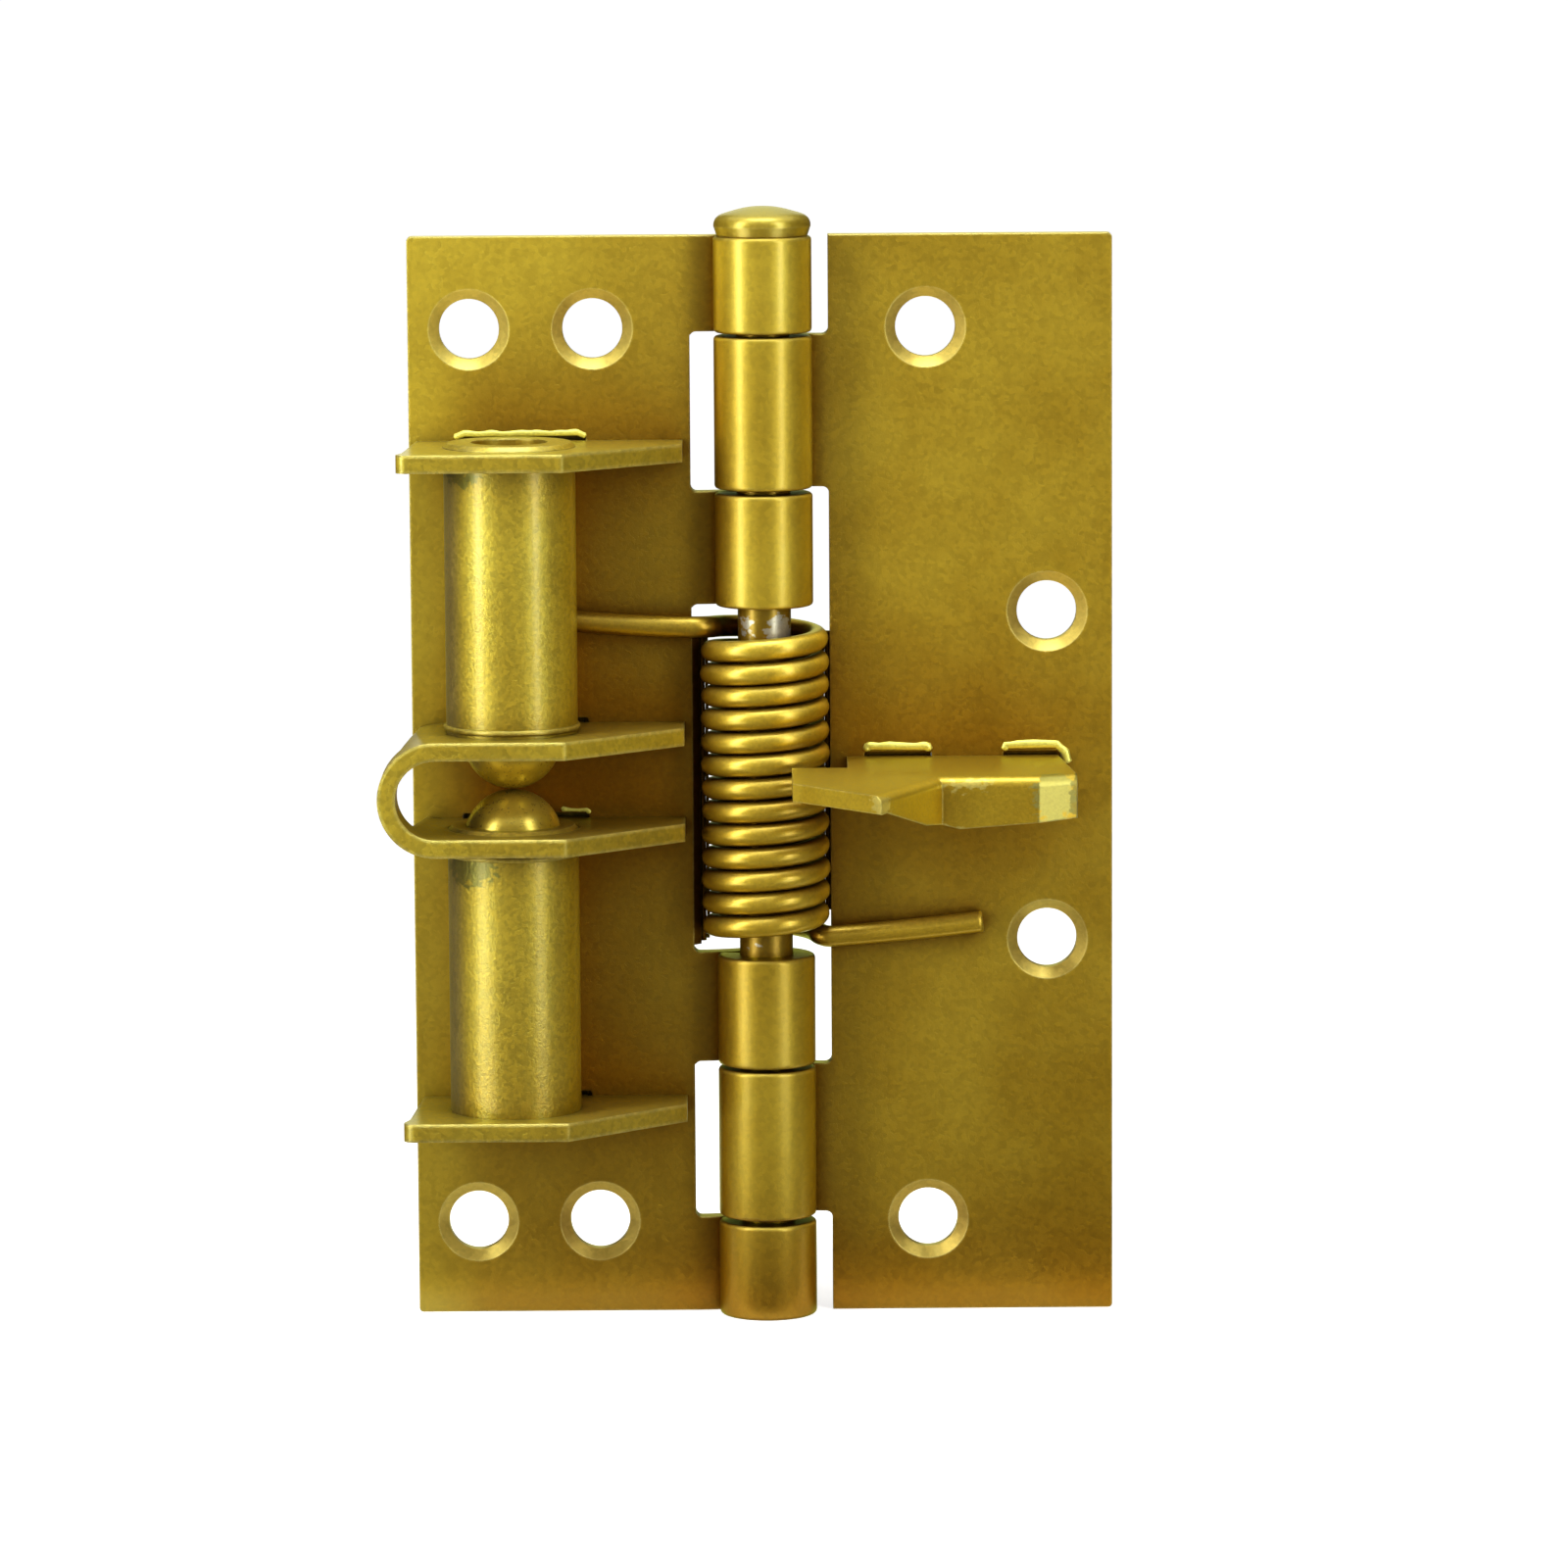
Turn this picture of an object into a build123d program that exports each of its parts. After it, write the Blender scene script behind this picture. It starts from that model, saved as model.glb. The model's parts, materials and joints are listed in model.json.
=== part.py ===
"""Self-closing spring hinge with a ball catch, drawn with its two leaves opened flat.

The hinge is drawn round its pin: the pin's axis is x = 0, y = 0, the leaves' lower edge is z = 0,
the countersunk front of the leaves faces -y, and depths are measured forwards from that front.
It is shifted once, when it is written, so that the origin is at the centre of the left leaf's
four holes on the leaf's back face. All sizes are in mm.
"""

import os
from math import atan2, cos, degrees, radians, sin, sqrt

from build123d import *

# Leaves
LEAF_HEIGHT = 100.0
LEAF_THICKNESS = 2.0
LEAF_FRONT_Y = 1.0
LEFT_LEAF_OUTER_X = -32.5
RIGHT_LEAF_OUTER_X = 32.0
LEFT_LEAF_INNER_X = -6.7
RIGHT_LEAF_INNER_X = 6.0
LEAF_CORNER_RADIUS = 0.4
NOTCH_CORNER_RADIUS = 0.6

# Edge of the left leaf beside the coil
COIL_EDGE_X = -6.0
COIL_EDGE_Z = (34.4, 63.3)
COIL_EDGE_BEVEL = 0.7

# Screw holes
HOLE_RADIUS = 2.75
COUNTERSINK_RADIUS = 3.7
HOLE_END_MARGIN = 8.5
LEFT_HOLE_COLUMNS_X = (-26.9, -15.6)
RIGHT_END_HOLES_X = 14.9
RIGHT_MIDDLE_HOLES_X = 26.0
RIGHT_MIDDLE_HOLES_Z = (34.75, 65.25)

# Barrel: the knuckles in turn from the bottom, as (lowest z, highest z)
BARREL_RADIUS = 4.5
LEFT_KNUCKLES_Z = ((0.0, 8.8), (23.5, 33.7), (66.1, 76.5), (91.2, 100.0))
RIGHT_KNUCKLES_Z = ((9.3, 23.2), (76.9, 90.9))
KNUCKLE_END_ROUND = 0.35
ROLL_END_ANGLE = 14.0
ROLL_BORE_RADIUS = BARREL_RADIUS - LEAF_THICKNESS

# Pin
PIN_CLEARANCE = 0.05
PIN_RADIUS = ROLL_BORE_RADIUS - PIN_CLEARANCE
PIN_FOOT_Z = 0.25
PIN_FOOT_CHAMFER = 0.4
PIN_HEAD_RADIUS = 4.45
PIN_HEAD_HEIGHT = 2.7
PIN_HEAD_RIM_HEIGHT = 0.9
PIN_HEAD_UNDERCUT = 0.3

# Torsion spring round the pin
WIRE_RADIUS = 1.0
COIL_RADIUS = 4.9
COIL_PITCH = 2.125
COIL_TURNS_BETWEEN_TAILS = 13
LOWEST_FRONT_STRAND_Z = 37.0
TAIL_LIFT = 0.02
UPPER_TAIL_BEND = 2.0
LOWER_TAIL_BEND = 1.25
UPPER_TAIL_END_X = -18.7
LOWER_TAIL_END_X = 20.0
UPPER_TAIL_RISE = 0.45
LOWER_TAIL_DROP = 0.35
LOWER_TAIL_SLOPE = 5.0

# Catch bracket: two end plates and a U, whose tabs are staked into the left leaf
PLATE_THICKNESS = 1.65
BRACKET_CENTRE_Z = LEAF_HEIGHT / 2
END_PLATE_INNER_OFFSET = 29.65
U_OUTER_RADIUS = 5.25
U_BEND_X = -29.9
U_BEND_BACK_DEPTH = 0.3
U_NECK_BACK_DEPTH = 10.5
U_NOTCH_BACK_ANGLE = 70.0
U_NOTCH_FRONT_ANGLE = 52.0
BRACKET_DEPTH = 14.8
BRACKET_CHAMFER_X = -18.1
BRACKET_RIGHT_X = -7.4
BRACKET_RIGHT_DEPTH = 5.0
END_PLATE_LEFT_EDGE = ((-31.8, 0.0), (-32.6, 12.0), (-33.1, 13.6))
END_PLATE_ROUND = 1.0
BRACKET_TAB_X = (-27.5, -16.7)

# Tabs: each stands through a slot with a gap round it, and its end is hammered out at the back
SLOT_GAP = 0.45
SLOT_CORNER_RADIUS = 0.3
STAKED_LENGTH = 0.5
STAKED_CLEARANCE = 0.02

# Tubes, balls and their springs
TUBE_X = -23.1
TUBE_DEPTH = 6.5
TUBE_RADIUS = 6.0
TUBE_BORE_RADIUS = 4.55
TUBE_STAND_PROUD = 0.3
TUBE_OUTER_END_PROUD = 0.45
TUBE_HOLE_CLEARANCE = 0.02
LIP_RADIUS = 4.36
LIP_LENGTH = 0.9
CRIMP_RADIUS = 3.5
CRIMP_THICKNESS = 0.7
TUBE_EDGE_ROUND = 0.4
PLUG_THICKNESS = 1.5
PLUG_CLEARANCE = 0.03
BALL_RADIUS = 4.47
BALL_OFFSET = 4.52
CATCH_WIRE_RADIUS = 0.5
CATCH_COIL_RADIUS = 3.7
CATCH_SPRING_TURNS = 7
CATCH_SPRING_GAP = 0.04

# Catch tongue on the right leaf: outline points are (x, depth)
TONGUE_TOP_Z = 51.9
TONGUE_BACK_X = (7.5, 27.0)
TONGUE_ARM_BACK_DEPTH = 8.0
TONGUE_ARM_END_X = 2.4
TONGUE_ARM_FRONT_DEPTH = 19.5
TONGUE_ARM_CHAMFER = 0.8
TONGUE_NOSE = (10.2, 27.6)
TONGUE_FRONT_DEPTH = 15.3
TONGUE_FRONT_X = (15.9, 24.7)
TONGUE_RIGHT_CORNER = (28.2, 13.9)
TONGUE_LIP_FOOT = ((14.4, 48.0), (17.5, 47.2), (28.5, 48.0))
TONGUE_LIP_LEAN = 0.5
TONGUE_TABS_X = ((9.6, 14.9), (22.4, 26.9))
TONGUE_FOLD_ROUND = 0.9

CUT_PAST = 0.5  # how far cutting shapes stand past the face they cut

LEAF_BACK_Y = LEAF_FRONT_Y + LEAF_THICKNESS
TAIL_Y = LEAF_FRONT_Y - WIRE_RADIUS - TAIL_LIFT
LEFT_HOLES_CENTRE_X = sum(LEFT_HOLE_COLUMNS_X) / 2
TO_MOUNT_ORIGIN = Location((-LEFT_HOLES_CENTRE_X, -LEAF_BACK_Y, -LEAF_HEIGHT / 2))


def front(depth):
    """The y of a point this far in front of the leaves' front face."""
    return LEAF_FRONT_Y - depth


def block(x_range, y_range, z_range):
    """A box between three pairs of limits."""
    low = [min(pair) for pair in (x_range, y_range, z_range)]
    high = [max(pair) for pair in (x_range, y_range, z_range)]
    size = [b - a for a, b in zip(low, high)]
    middle = [(a + b) / 2 for a, b in zip(low, high)]
    return Pos(*middle) * Box(*size)


def flat_piece(points, z_range):
    """A cut plate: (x, depth) points joined by straight edges and given its thickness."""
    outline = Polyline([(x, front(depth)) for x, depth in points], close=True)
    return Pos(0, 0, z_range[0]) * extrude(make_face(outline), z_range[1] - z_range[0])


def edges_along(shape, axis, x=None, y=None, z=None):
    """Straight edges parallel to an axis, at the stated places."""
    found = []
    for edge in shape.edges().filter_by(axis):
        middle = edge.center()
        wanted = zip((x, y, z), (middle.X, middle.Y, middle.Z))
        if all(place is None or abs(place - value) < 0.01 for place, value in wanted):
            found.append(edge)
    return found


def rolled_knuckle(inner_x, z_range):
    """A neck that eases back from the leaf and rolls round behind the pin, over its front
    and down to the leaf's front face, where the end of the roll leaves a fine seam."""
    reach = abs(inner_x)
    mid_radius = BARREL_RADIUS - LEAF_THICKNESS / 2
    mid_y = LEAF_FRONT_Y + LEAF_THICKNESS / 2
    bend = (reach**2 / (mid_radius - mid_y) - (mid_radius + mid_y)) / 2
    bend_y = mid_y + bend
    start = atan2(bend_y, reach)

    def on_bend(angle, radius):
        return (reach - radius * sin(angle), bend_y - radius * cos(angle))

    def on_roll(angle, radius):
        return (radius * cos(angle), radius * sin(angle))

    turn = radians(90) - start
    front_radius = bend + LEAF_THICKNESS / 2
    back_radius = bend - LEAF_THICKNESS / 2
    end = radians(360 + ROLL_END_ANGLE)
    half_way = (start + end) / 2
    edges = [
        Line((reach, LEAF_BACK_Y), (reach, LEAF_FRONT_Y)),
        ThreePointArc(
            (reach, LEAF_FRONT_Y),
            on_bend(turn / 2, front_radius),
            on_roll(start, ROLL_BORE_RADIUS),
        ),
        ThreePointArc(
            on_roll(start, ROLL_BORE_RADIUS),
            on_roll(half_way, ROLL_BORE_RADIUS),
            on_roll(end, ROLL_BORE_RADIUS),
        ),
        Line(on_roll(end, ROLL_BORE_RADIUS), on_roll(end, BARREL_RADIUS)),
        ThreePointArc(
            on_roll(end, BARREL_RADIUS),
            on_roll(half_way, BARREL_RADIUS),
            on_roll(start, BARREL_RADIUS),
        ),
        ThreePointArc(
            on_roll(start, BARREL_RADIUS),
            on_bend(turn / 2, back_radius),
            (reach, LEAF_BACK_Y),
        ),
    ]
    knuckle = extrude(make_face(edges), z_range[1] - z_range[0])
    rims = [
        edge
        for edge in knuckle.edges().filter_by(GeomType.CIRCLE)
        if abs(edge.radius - BARREL_RADIUS) < 0.01 and edge.length > BARREL_RADIUS
    ]
    knuckle = fillet(rims, KNUCKLE_END_ROUND)
    if inner_x < 0:
        knuckle = mirror(knuckle, Plane.YZ)
    return Pos(0, 0, z_range[0]) * knuckle


def screw_hole(x, z):
    """The space that a countersunk screw takes out of a leaf."""
    depth = COUNTERSINK_RADIUS - HOLE_RADIUS
    half_profile = Polyline(
        (0, CUT_PAST),
        (COUNTERSINK_RADIUS + CUT_PAST, CUT_PAST),
        (HOLE_RADIUS, -depth),
        (HOLE_RADIUS, -LEAF_THICKNESS - CUT_PAST),
        (0, -LEAF_THICKNESS - CUT_PAST),
        close=True,
    )
    tool = Rot(90, 0, 0) * revolve(Plane.XZ * make_face(half_profile), Axis.Z)
    return Pos(x, LEAF_FRONT_Y, z) * tool


def widened(limits, by):
    """A pair of limits moved apart by the same amount at each end."""
    return (limits[0] - by, limits[1] + by)


def rounded_block(x_range, y_range, z_range):
    """A block whose four corners are rounded as the ends of a slot are."""
    shape = block(x_range, y_range, z_range)
    return fillet(shape.edges().filter_by(Axis.Y), SLOT_CORNER_RADIUS)


def tab_slot(tab_x, tab_z):
    """The slot through a leaf for a tab."""
    through = widened((LEAF_FRONT_Y, LEAF_BACK_Y), CUT_PAST)
    return rounded_block(widened(tab_x, SLOT_GAP), through, widened(tab_z, SLOT_GAP))


def staked_tab(tab_x, tab_z):
    """A tab that stands through its slot, hammered out at the back until it fills the slot."""
    stem = block(tab_x, (LEAF_FRONT_Y, LEAF_BACK_Y), tab_z)
    swell = SLOT_GAP - STAKED_CLEARANCE
    at_back = (LEAF_BACK_Y - STAKED_LENGTH, LEAF_BACK_Y)
    return stem + rounded_block(widened(tab_x, swell), at_back, widened(tab_z, swell))


def leaf_blank(inner_x, outer_x):
    """The flat sheet of a leaf, with its outer corners rounded."""
    sheet = block((inner_x, outer_x), (LEAF_FRONT_Y, LEAF_BACK_Y), (0, LEAF_HEIGHT))
    return fillet(edges_along(sheet, Axis.Y, x=outer_x), LEAF_CORNER_RADIUS)


def leaf(plate, inner_x, knuckles_z, holes, tabs):
    """A leaf made from its flat sheet: screw holes, slots for tabs, and knuckles."""
    for x, z in holes:
        plate -= screw_hole(x, z)
    for tab_x, tab_z in tabs:
        plate -= tab_slot(tab_x, tab_z)
    for z_range in knuckles_z:
        plate += rolled_knuckle(inner_x, z_range)
    ends = {z for z_range in knuckles_z for z in z_range} - {0.0, LEAF_HEIGHT}
    corners = [edge for z in ends for edge in edges_along(plate, Axis.Y, x=inner_x, z=z)]
    return fillet(corners, NOTCH_CORNER_RADIUS)


def mirrored(z_range):
    """The same heights on the other side of the bracket's middle."""
    return tuple(sorted(2 * BRACKET_CENTRE_Z - z for z in z_range))


def end_plate_z():
    """Heights of the upper end plate."""
    low = BRACKET_CENTRE_Z + END_PLATE_INNER_OFFSET
    return (low, low + PLATE_THICKNESS)


def u_leg_z():
    """Heights of the U's upper leg."""
    high = BRACKET_CENTRE_Z + U_OUTER_RADIUS
    return (high - PLATE_THICKNESS, high)


def blade_z():
    """Heights of the tongue's blade."""
    return (TONGUE_TOP_Z - PLATE_THICKNESS, TONGUE_TOP_Z)


def edge_beside_coil():
    """A narrow strip that carries the left leaf up to the coil, bevelled to clear its turns."""
    bevel_x = COIL_EDGE_X - COIL_EDGE_BEVEL
    section = [
        (bevel_x - CUT_PAST, 0),
        (bevel_x, 0),
        (COIL_EDGE_X, -COIL_EDGE_BEVEL),
        (COIL_EDGE_X, -LEAF_THICKNESS),
        (bevel_x - CUT_PAST, -LEAF_THICKNESS),
    ]
    return flat_piece(section, COIL_EDGE_Z)


def left_leaf():
    """The fixed leaf, slotted for the four tabs of the catch bracket."""
    ends = (HOLE_END_MARGIN, LEAF_HEIGHT - HOLE_END_MARGIN)
    holes = [(x, z) for x in LEFT_HOLE_COLUMNS_X for z in ends]
    plates_z = (end_plate_z(), u_leg_z(), mirrored(u_leg_z()), mirrored(end_plate_z()))
    tabs = [(BRACKET_TAB_X, z_range) for z_range in plates_z]
    blank = leaf_blank(LEFT_LEAF_INNER_X, LEFT_LEAF_OUTER_X) + edge_beside_coil()
    return leaf(blank, LEFT_LEAF_INNER_X, LEFT_KNUCKLES_Z, holes, tabs)


def right_leaf():
    """The moving leaf, slotted for the two tabs of the tongue."""
    ends = (HOLE_END_MARGIN, LEAF_HEIGHT - HOLE_END_MARGIN)
    holes = [(RIGHT_END_HOLES_X, z) for z in ends]
    holes += [(RIGHT_MIDDLE_HOLES_X, z) for z in RIGHT_MIDDLE_HOLES_Z]
    tabs = [(tab_x, blade_z()) for tab_x in TONGUE_TABS_X]
    blank = leaf_blank(RIGHT_LEAF_INNER_X, RIGHT_LEAF_OUTER_X)
    return leaf(blank, RIGHT_LEAF_INNER_X, RIGHT_KNUCKLES_Z, holes, tabs)


def hinge_pin():
    """A turned pin with a low domed head that rests on the top knuckle."""
    widest_z = LEAF_HEIGHT + PIN_HEAD_RIM_HEIGHT
    top_z = LEAF_HEIGHT + PIN_HEAD_HEIGHT
    shank = Polyline(
        (0, PIN_FOOT_Z),
        (PIN_RADIUS - PIN_FOOT_CHAMFER, PIN_FOOT_Z),
        (PIN_RADIUS, PIN_FOOT_Z + PIN_FOOT_CHAMFER),
        (PIN_RADIUS, LEAF_HEIGHT),
        (PIN_HEAD_RADIUS - PIN_HEAD_UNDERCUT, LEAF_HEIGHT),
        (PIN_HEAD_RADIUS, widest_z),
    )
    shoulder = (
        PIN_HEAD_RADIUS * cos(radians(45)),
        widest_z + (top_z - widest_z) * sin(radians(45)),
    )
    dome = Spline(
        (PIN_HEAD_RADIUS, widest_z),
        shoulder,
        (0, top_z),
        tangents=[(0, 1), (-1, 0)],
    )
    axis = Line((0, top_z), (0, PIN_FOOT_Z))
    return revolve(Plane.XZ * make_face([shank, dome, axis]), Axis.Z)


def swept_wire(path, radius):
    """A round wire along a path."""
    start = Plane(origin=path @ 0, z_dir=path % 0)
    return sweep(start * Circle(radius), path)


def tail_bend(bend, side):
    """The bend between a tail and the coil, seen from above: where it meets the tail, its
    middle, and the angle round the pin where it meets the coil. Side is -1 on the left."""
    centre_y = TAIL_Y + bend
    reach = sqrt((COIL_RADIUS + bend) ** 2 - centre_y**2)
    middle = (atan2(centre_y, reach) + radians(90)) / 2
    halfway = (side * (reach - bend * cos(middle)), centre_y - bend * sin(middle))
    return side * reach, halfway, degrees(atan2(centre_y, side * reach))


def torsion_spring():
    """A right-handed coil round the pin. Each end leaves the back of the coil, passes through
    the gap beside the leaf and lies straight along the leaf's front face."""
    lower_x, lower_middle, first_angle = tail_bend(LOWER_TAIL_BEND, 1)
    upper_x, upper_middle, last_angle = tail_bend(UPPER_TAIL_BEND, -1)
    first_z = LOWEST_FRONT_STRAND_Z - (270 - first_angle) / 360 * COIL_PITCH
    turns = COIL_TURNS_BETWEEN_TAILS + (last_angle - first_angle) / 360
    coil = Helix(COIL_PITCH, turns * COIL_PITCH, COIL_RADIUS)
    coil = Pos(0, 0, first_z) * Rot(0, 0, first_angle) * coil

    slope = Vector(cos(radians(LOWER_TAIL_SLOPE)), 0, sin(radians(LOWER_TAIL_SLOPE)))
    lower_start = Vector(lower_x, TAIL_Y, first_z - LOWER_TAIL_DROP)
    lower_end = lower_start + slope * (LOWER_TAIL_END_X - lower_x)
    lower_bend = Spline(
        lower_start,
        (*lower_middle, first_z - LOWER_TAIL_DROP / 2),
        coil @ 0,
        tangents=[-slope, coil % 0],
    )
    last_z = (coil @ 1).Z
    upper_start = Vector(upper_x, TAIL_Y, last_z + UPPER_TAIL_RISE)
    upper_end = Vector(UPPER_TAIL_END_X, TAIL_Y, last_z + UPPER_TAIL_RISE)
    upper_bend = Spline(
        coil @ 1,
        (*upper_middle, last_z + UPPER_TAIL_RISE / 2),
        upper_start,
        tangents=[coil % 1, (-1, 0, 0)],
    )
    lower_tail = Line(lower_end, lower_start)
    upper_tail = Line(upper_start, upper_end)
    return swept_wire(Wire([lower_tail, lower_bend, coil, upper_bend, upper_tail]), WIRE_RADIUS)


def tube_hole(z_range):
    """The hole for a tube through a plate of the bracket."""
    radius = TUBE_RADIUS + TUBE_HOLE_CLEARANCE
    height = z_range[1] - z_range[0] + 2 * CUT_PAST
    return Pos(TUBE_X, front(TUBE_DEPTH), sum(z_range) / 2) * Cylinder(radius, height)


def bracket_plate(left_points, z_range):
    """A plate of the bracket, with its tab through the leaf and its hole for the tube."""
    points = [
        *left_points,
        (BRACKET_CHAMFER_X, BRACKET_DEPTH),
        (BRACKET_RIGHT_X, BRACKET_RIGHT_DEPTH),
        (BRACKET_RIGHT_X, 0),
    ]
    plate = flat_piece(points, z_range) - tube_hole(z_range)
    return plate + staked_tab(BRACKET_TAB_X, z_range)


def end_plate(z_range):
    """A plate that holds the outer end of a tube."""
    left_x = END_PLATE_LEFT_EDGE[-1][0]
    plate = bracket_plate([*END_PLATE_LEFT_EDGE, (left_x, BRACKET_DEPTH)], z_range)
    corner = edges_along(plate, Axis.Z, x=left_x, y=front(BRACKET_DEPTH))
    return fillet(corner, END_PLATE_ROUND)


def u_notch():
    """The notch that leaves only a narrow neck of the strip at the middle of the U's bend. It is
    measured by the angle that it takes out of the bend, which closes in towards the neck."""
    reach = 2 * U_OUTER_RADIUS
    sections = []
    for depth, half_angle in (
        (0, U_NOTCH_BACK_ANGLE),
        (U_NECK_BACK_DEPTH, U_NOTCH_FRONT_ANGLE),
    ):
        across = reach * cos(radians(half_angle))
        up = reach * sin(radians(half_angle))
        place = Plane(
            origin=(U_BEND_X, front(depth), BRACKET_CENTRE_Z), x_dir=(1, 0, 0), z_dir=(0, -1, 0)
        )
        wedge = Polyline((0, 0), (-across, up), (-reach, up), (-reach, -up), (-across, -up), close=True)
        sections.append(place * make_face(wedge))
    return loft(sections, ruled=True)


def u_bracket():
    """One strip folded into a U that opens to the right. Its legs hold the tubes' inner ends."""
    left = [(U_BEND_X, 0), (U_BEND_X, BRACKET_DEPTH)]
    legs = bracket_plate(left, u_leg_z()) + bracket_plate(left, mirrored(u_leg_z()))
    back_end = (U_BEND_X, front(U_BEND_BACK_DEPTH), BRACKET_CENTRE_Z)
    across = Plane(origin=back_end, x_dir=(1, 0, 0), z_dir=(0, -1, 0))
    ring = Circle(U_OUTER_RADIUS) - Circle(U_OUTER_RADIUS - PLATE_THICKNESS)
    ring -= Pos(U_OUTER_RADIUS, 0) * Rectangle(2 * U_OUTER_RADIUS, 2 * U_OUTER_RADIUS)
    bend = extrude(across * ring, BRACKET_DEPTH - U_BEND_BACK_DEPTH)
    return legs + (bend - u_notch())


def in_tube(shape, upper):
    """Puts a shape drawn upwards from the bracket's middle into the upper or lower tube."""
    placed = Pos(TUBE_X, front(TUBE_DEPTH), BRACKET_CENTRE_Z) * shape
    if upper:
        return placed
    return mirror(placed, Plane.XY.offset(BRACKET_CENTRE_Z))


def mouth_height():
    """Height of the tube's mouth above the bracket's middle."""
    return U_OUTER_RADIUS - PLATE_THICKNESS - TUBE_STAND_PROUD


def crimp_height():
    """Height of the tube's outer end above the bracket's middle."""
    return END_PLATE_INNER_OFFSET + PLATE_THICKNESS + TUBE_OUTER_END_PROUD


def catch_tube(upper):
    """A tube with a lip that keeps the ball in and an outer end crimped over the plug."""
    mouth = mouth_height()
    end = crimp_height()
    round_over = TUBE_RADIUS - TUBE_EDGE_ROUND
    wall = Polyline(
        (LIP_RADIUS, 0, mouth),
        (round_over, 0, mouth),
        (TUBE_RADIUS, 0, mouth + TUBE_EDGE_ROUND),
        (TUBE_RADIUS, 0, end - TUBE_EDGE_ROUND),
        (round_over, 0, end),
        (CRIMP_RADIUS, 0, end),
        (CRIMP_RADIUS, 0, end - CRIMP_THICKNESS),
        (TUBE_BORE_RADIUS, 0, end - CRIMP_THICKNESS),
        (TUBE_BORE_RADIUS, 0, mouth + LIP_LENGTH),
        close=True,
    )
    return in_tube(revolve(make_face(wall), Axis.Z), upper)


def catch_ball(upper):
    """A ball that stands out of the tube's mouth and meets the other ball."""
    return in_tube(Pos(0, 0, BALL_OFFSET) * Sphere(BALL_RADIUS), upper)


def plug_foot_height():
    """Height of the plug's inner face above the bracket's middle."""
    return crimp_height() - CRIMP_THICKNESS - PLUG_CLEARANCE - PLUG_THICKNESS


def tube_plug(upper):
    """The disc that the catch spring pushes against."""
    disc = Cylinder(TUBE_BORE_RADIUS - PLUG_CLEARANCE, PLUG_THICKNESS)
    return in_tube(Pos(0, 0, plug_foot_height() + PLUG_THICKNESS / 2) * disc, upper)


def catch_spring(upper):
    """The compression spring between a ball and its plug."""
    reach = BALL_RADIUS + CATCH_WIRE_RADIUS + CATCH_SPRING_GAP
    low = BALL_OFFSET + sqrt(reach**2 - CATCH_COIL_RADIUS**2)
    high = plug_foot_height() - CATCH_WIRE_RADIUS - CATCH_SPRING_GAP
    pitch = (high - low) / CATCH_SPRING_TURNS
    coil = Pos(0, 0, low) * Helix(pitch, high - low, CATCH_COIL_RADIUS)
    return in_tube(swept_wire(coil, CATCH_WIRE_RADIUS), upper)


def tongue_lip(fold):
    """The lip below the blade's front edge. Its foot slopes down from the nose, is lowest
    below the left end of the front edge, and rises a little towards the right."""
    nose_x = TONGUE_NOSE[0]
    blade_foot = blade_z()[0]
    lowest = min(z for _, z in TONGUE_LIP_FOOT)
    inward = Vector(-TONGUE_LIP_LEAN, -1).normalized() * PLATE_THICKNESS
    behind = [(x + inward.X, depth + inward.Y) for x, depth in reversed(fold)]
    lip = flat_piece(fold + behind, (lowest, blade_foot + PLATE_THICKNESS / 2))
    left_x = nose_x - PLATE_THICKNESS - CUT_PAST
    right_x = TONGUE_LIP_FOOT[-1][0]
    cut_away = Polyline(
        (left_x, blade_foot),
        (nose_x + CUT_PAST, blade_foot),
        *TONGUE_LIP_FOOT,
        (right_x, lowest - CUT_PAST),
        (left_x, lowest - CUT_PAST),
        close=True,
    )
    return lip - extrude(Plane.XZ * make_face(cut_away), 2 * TONGUE_NOSE[1], both=True)


def catch_tongue():
    """A sheet blade whose arm reaches in front of the coil. Its nose passes between the balls,
    and the lip folded down along its front edge is what they come to rest against."""
    back_left, back_right = TONGUE_BACK_X
    front_left, front_right = TONGUE_FRONT_X
    fold = [
        TONGUE_NOSE,
        (front_left, TONGUE_FRONT_DEPTH),
        (front_right, TONGUE_FRONT_DEPTH),
        TONGUE_RIGHT_CORNER,
    ]
    outline = [
        (back_left, 0),
        (back_left, TONGUE_ARM_BACK_DEPTH),
        (TONGUE_ARM_END_X, TONGUE_ARM_BACK_DEPTH),
        (TONGUE_ARM_END_X, TONGUE_ARM_FRONT_DEPTH - TONGUE_ARM_CHAMFER),
        (TONGUE_ARM_END_X + TONGUE_ARM_CHAMFER, TONGUE_ARM_FRONT_DEPTH),
        *fold,
        (back_right, 0),
    ]
    tongue = flat_piece(outline, blade_z()) + tongue_lip(fold)
    folded = [
        edge
        for edge in tongue.edges()
        if abs(edge.center().Z - TONGUE_TOP_Z) < 0.01
        and TONGUE_NOSE[0] < edge.center().X < TONGUE_RIGHT_CORNER[0]
        and edge.center().Y < front(TONGUE_RIGHT_CORNER[1])
    ]
    tongue = fillet(folded, TONGUE_FOLD_ROUND)
    for tab_x in TONGUE_TABS_X:
        tongue += staked_tab(tab_x, blade_z())
    return tongue


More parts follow.
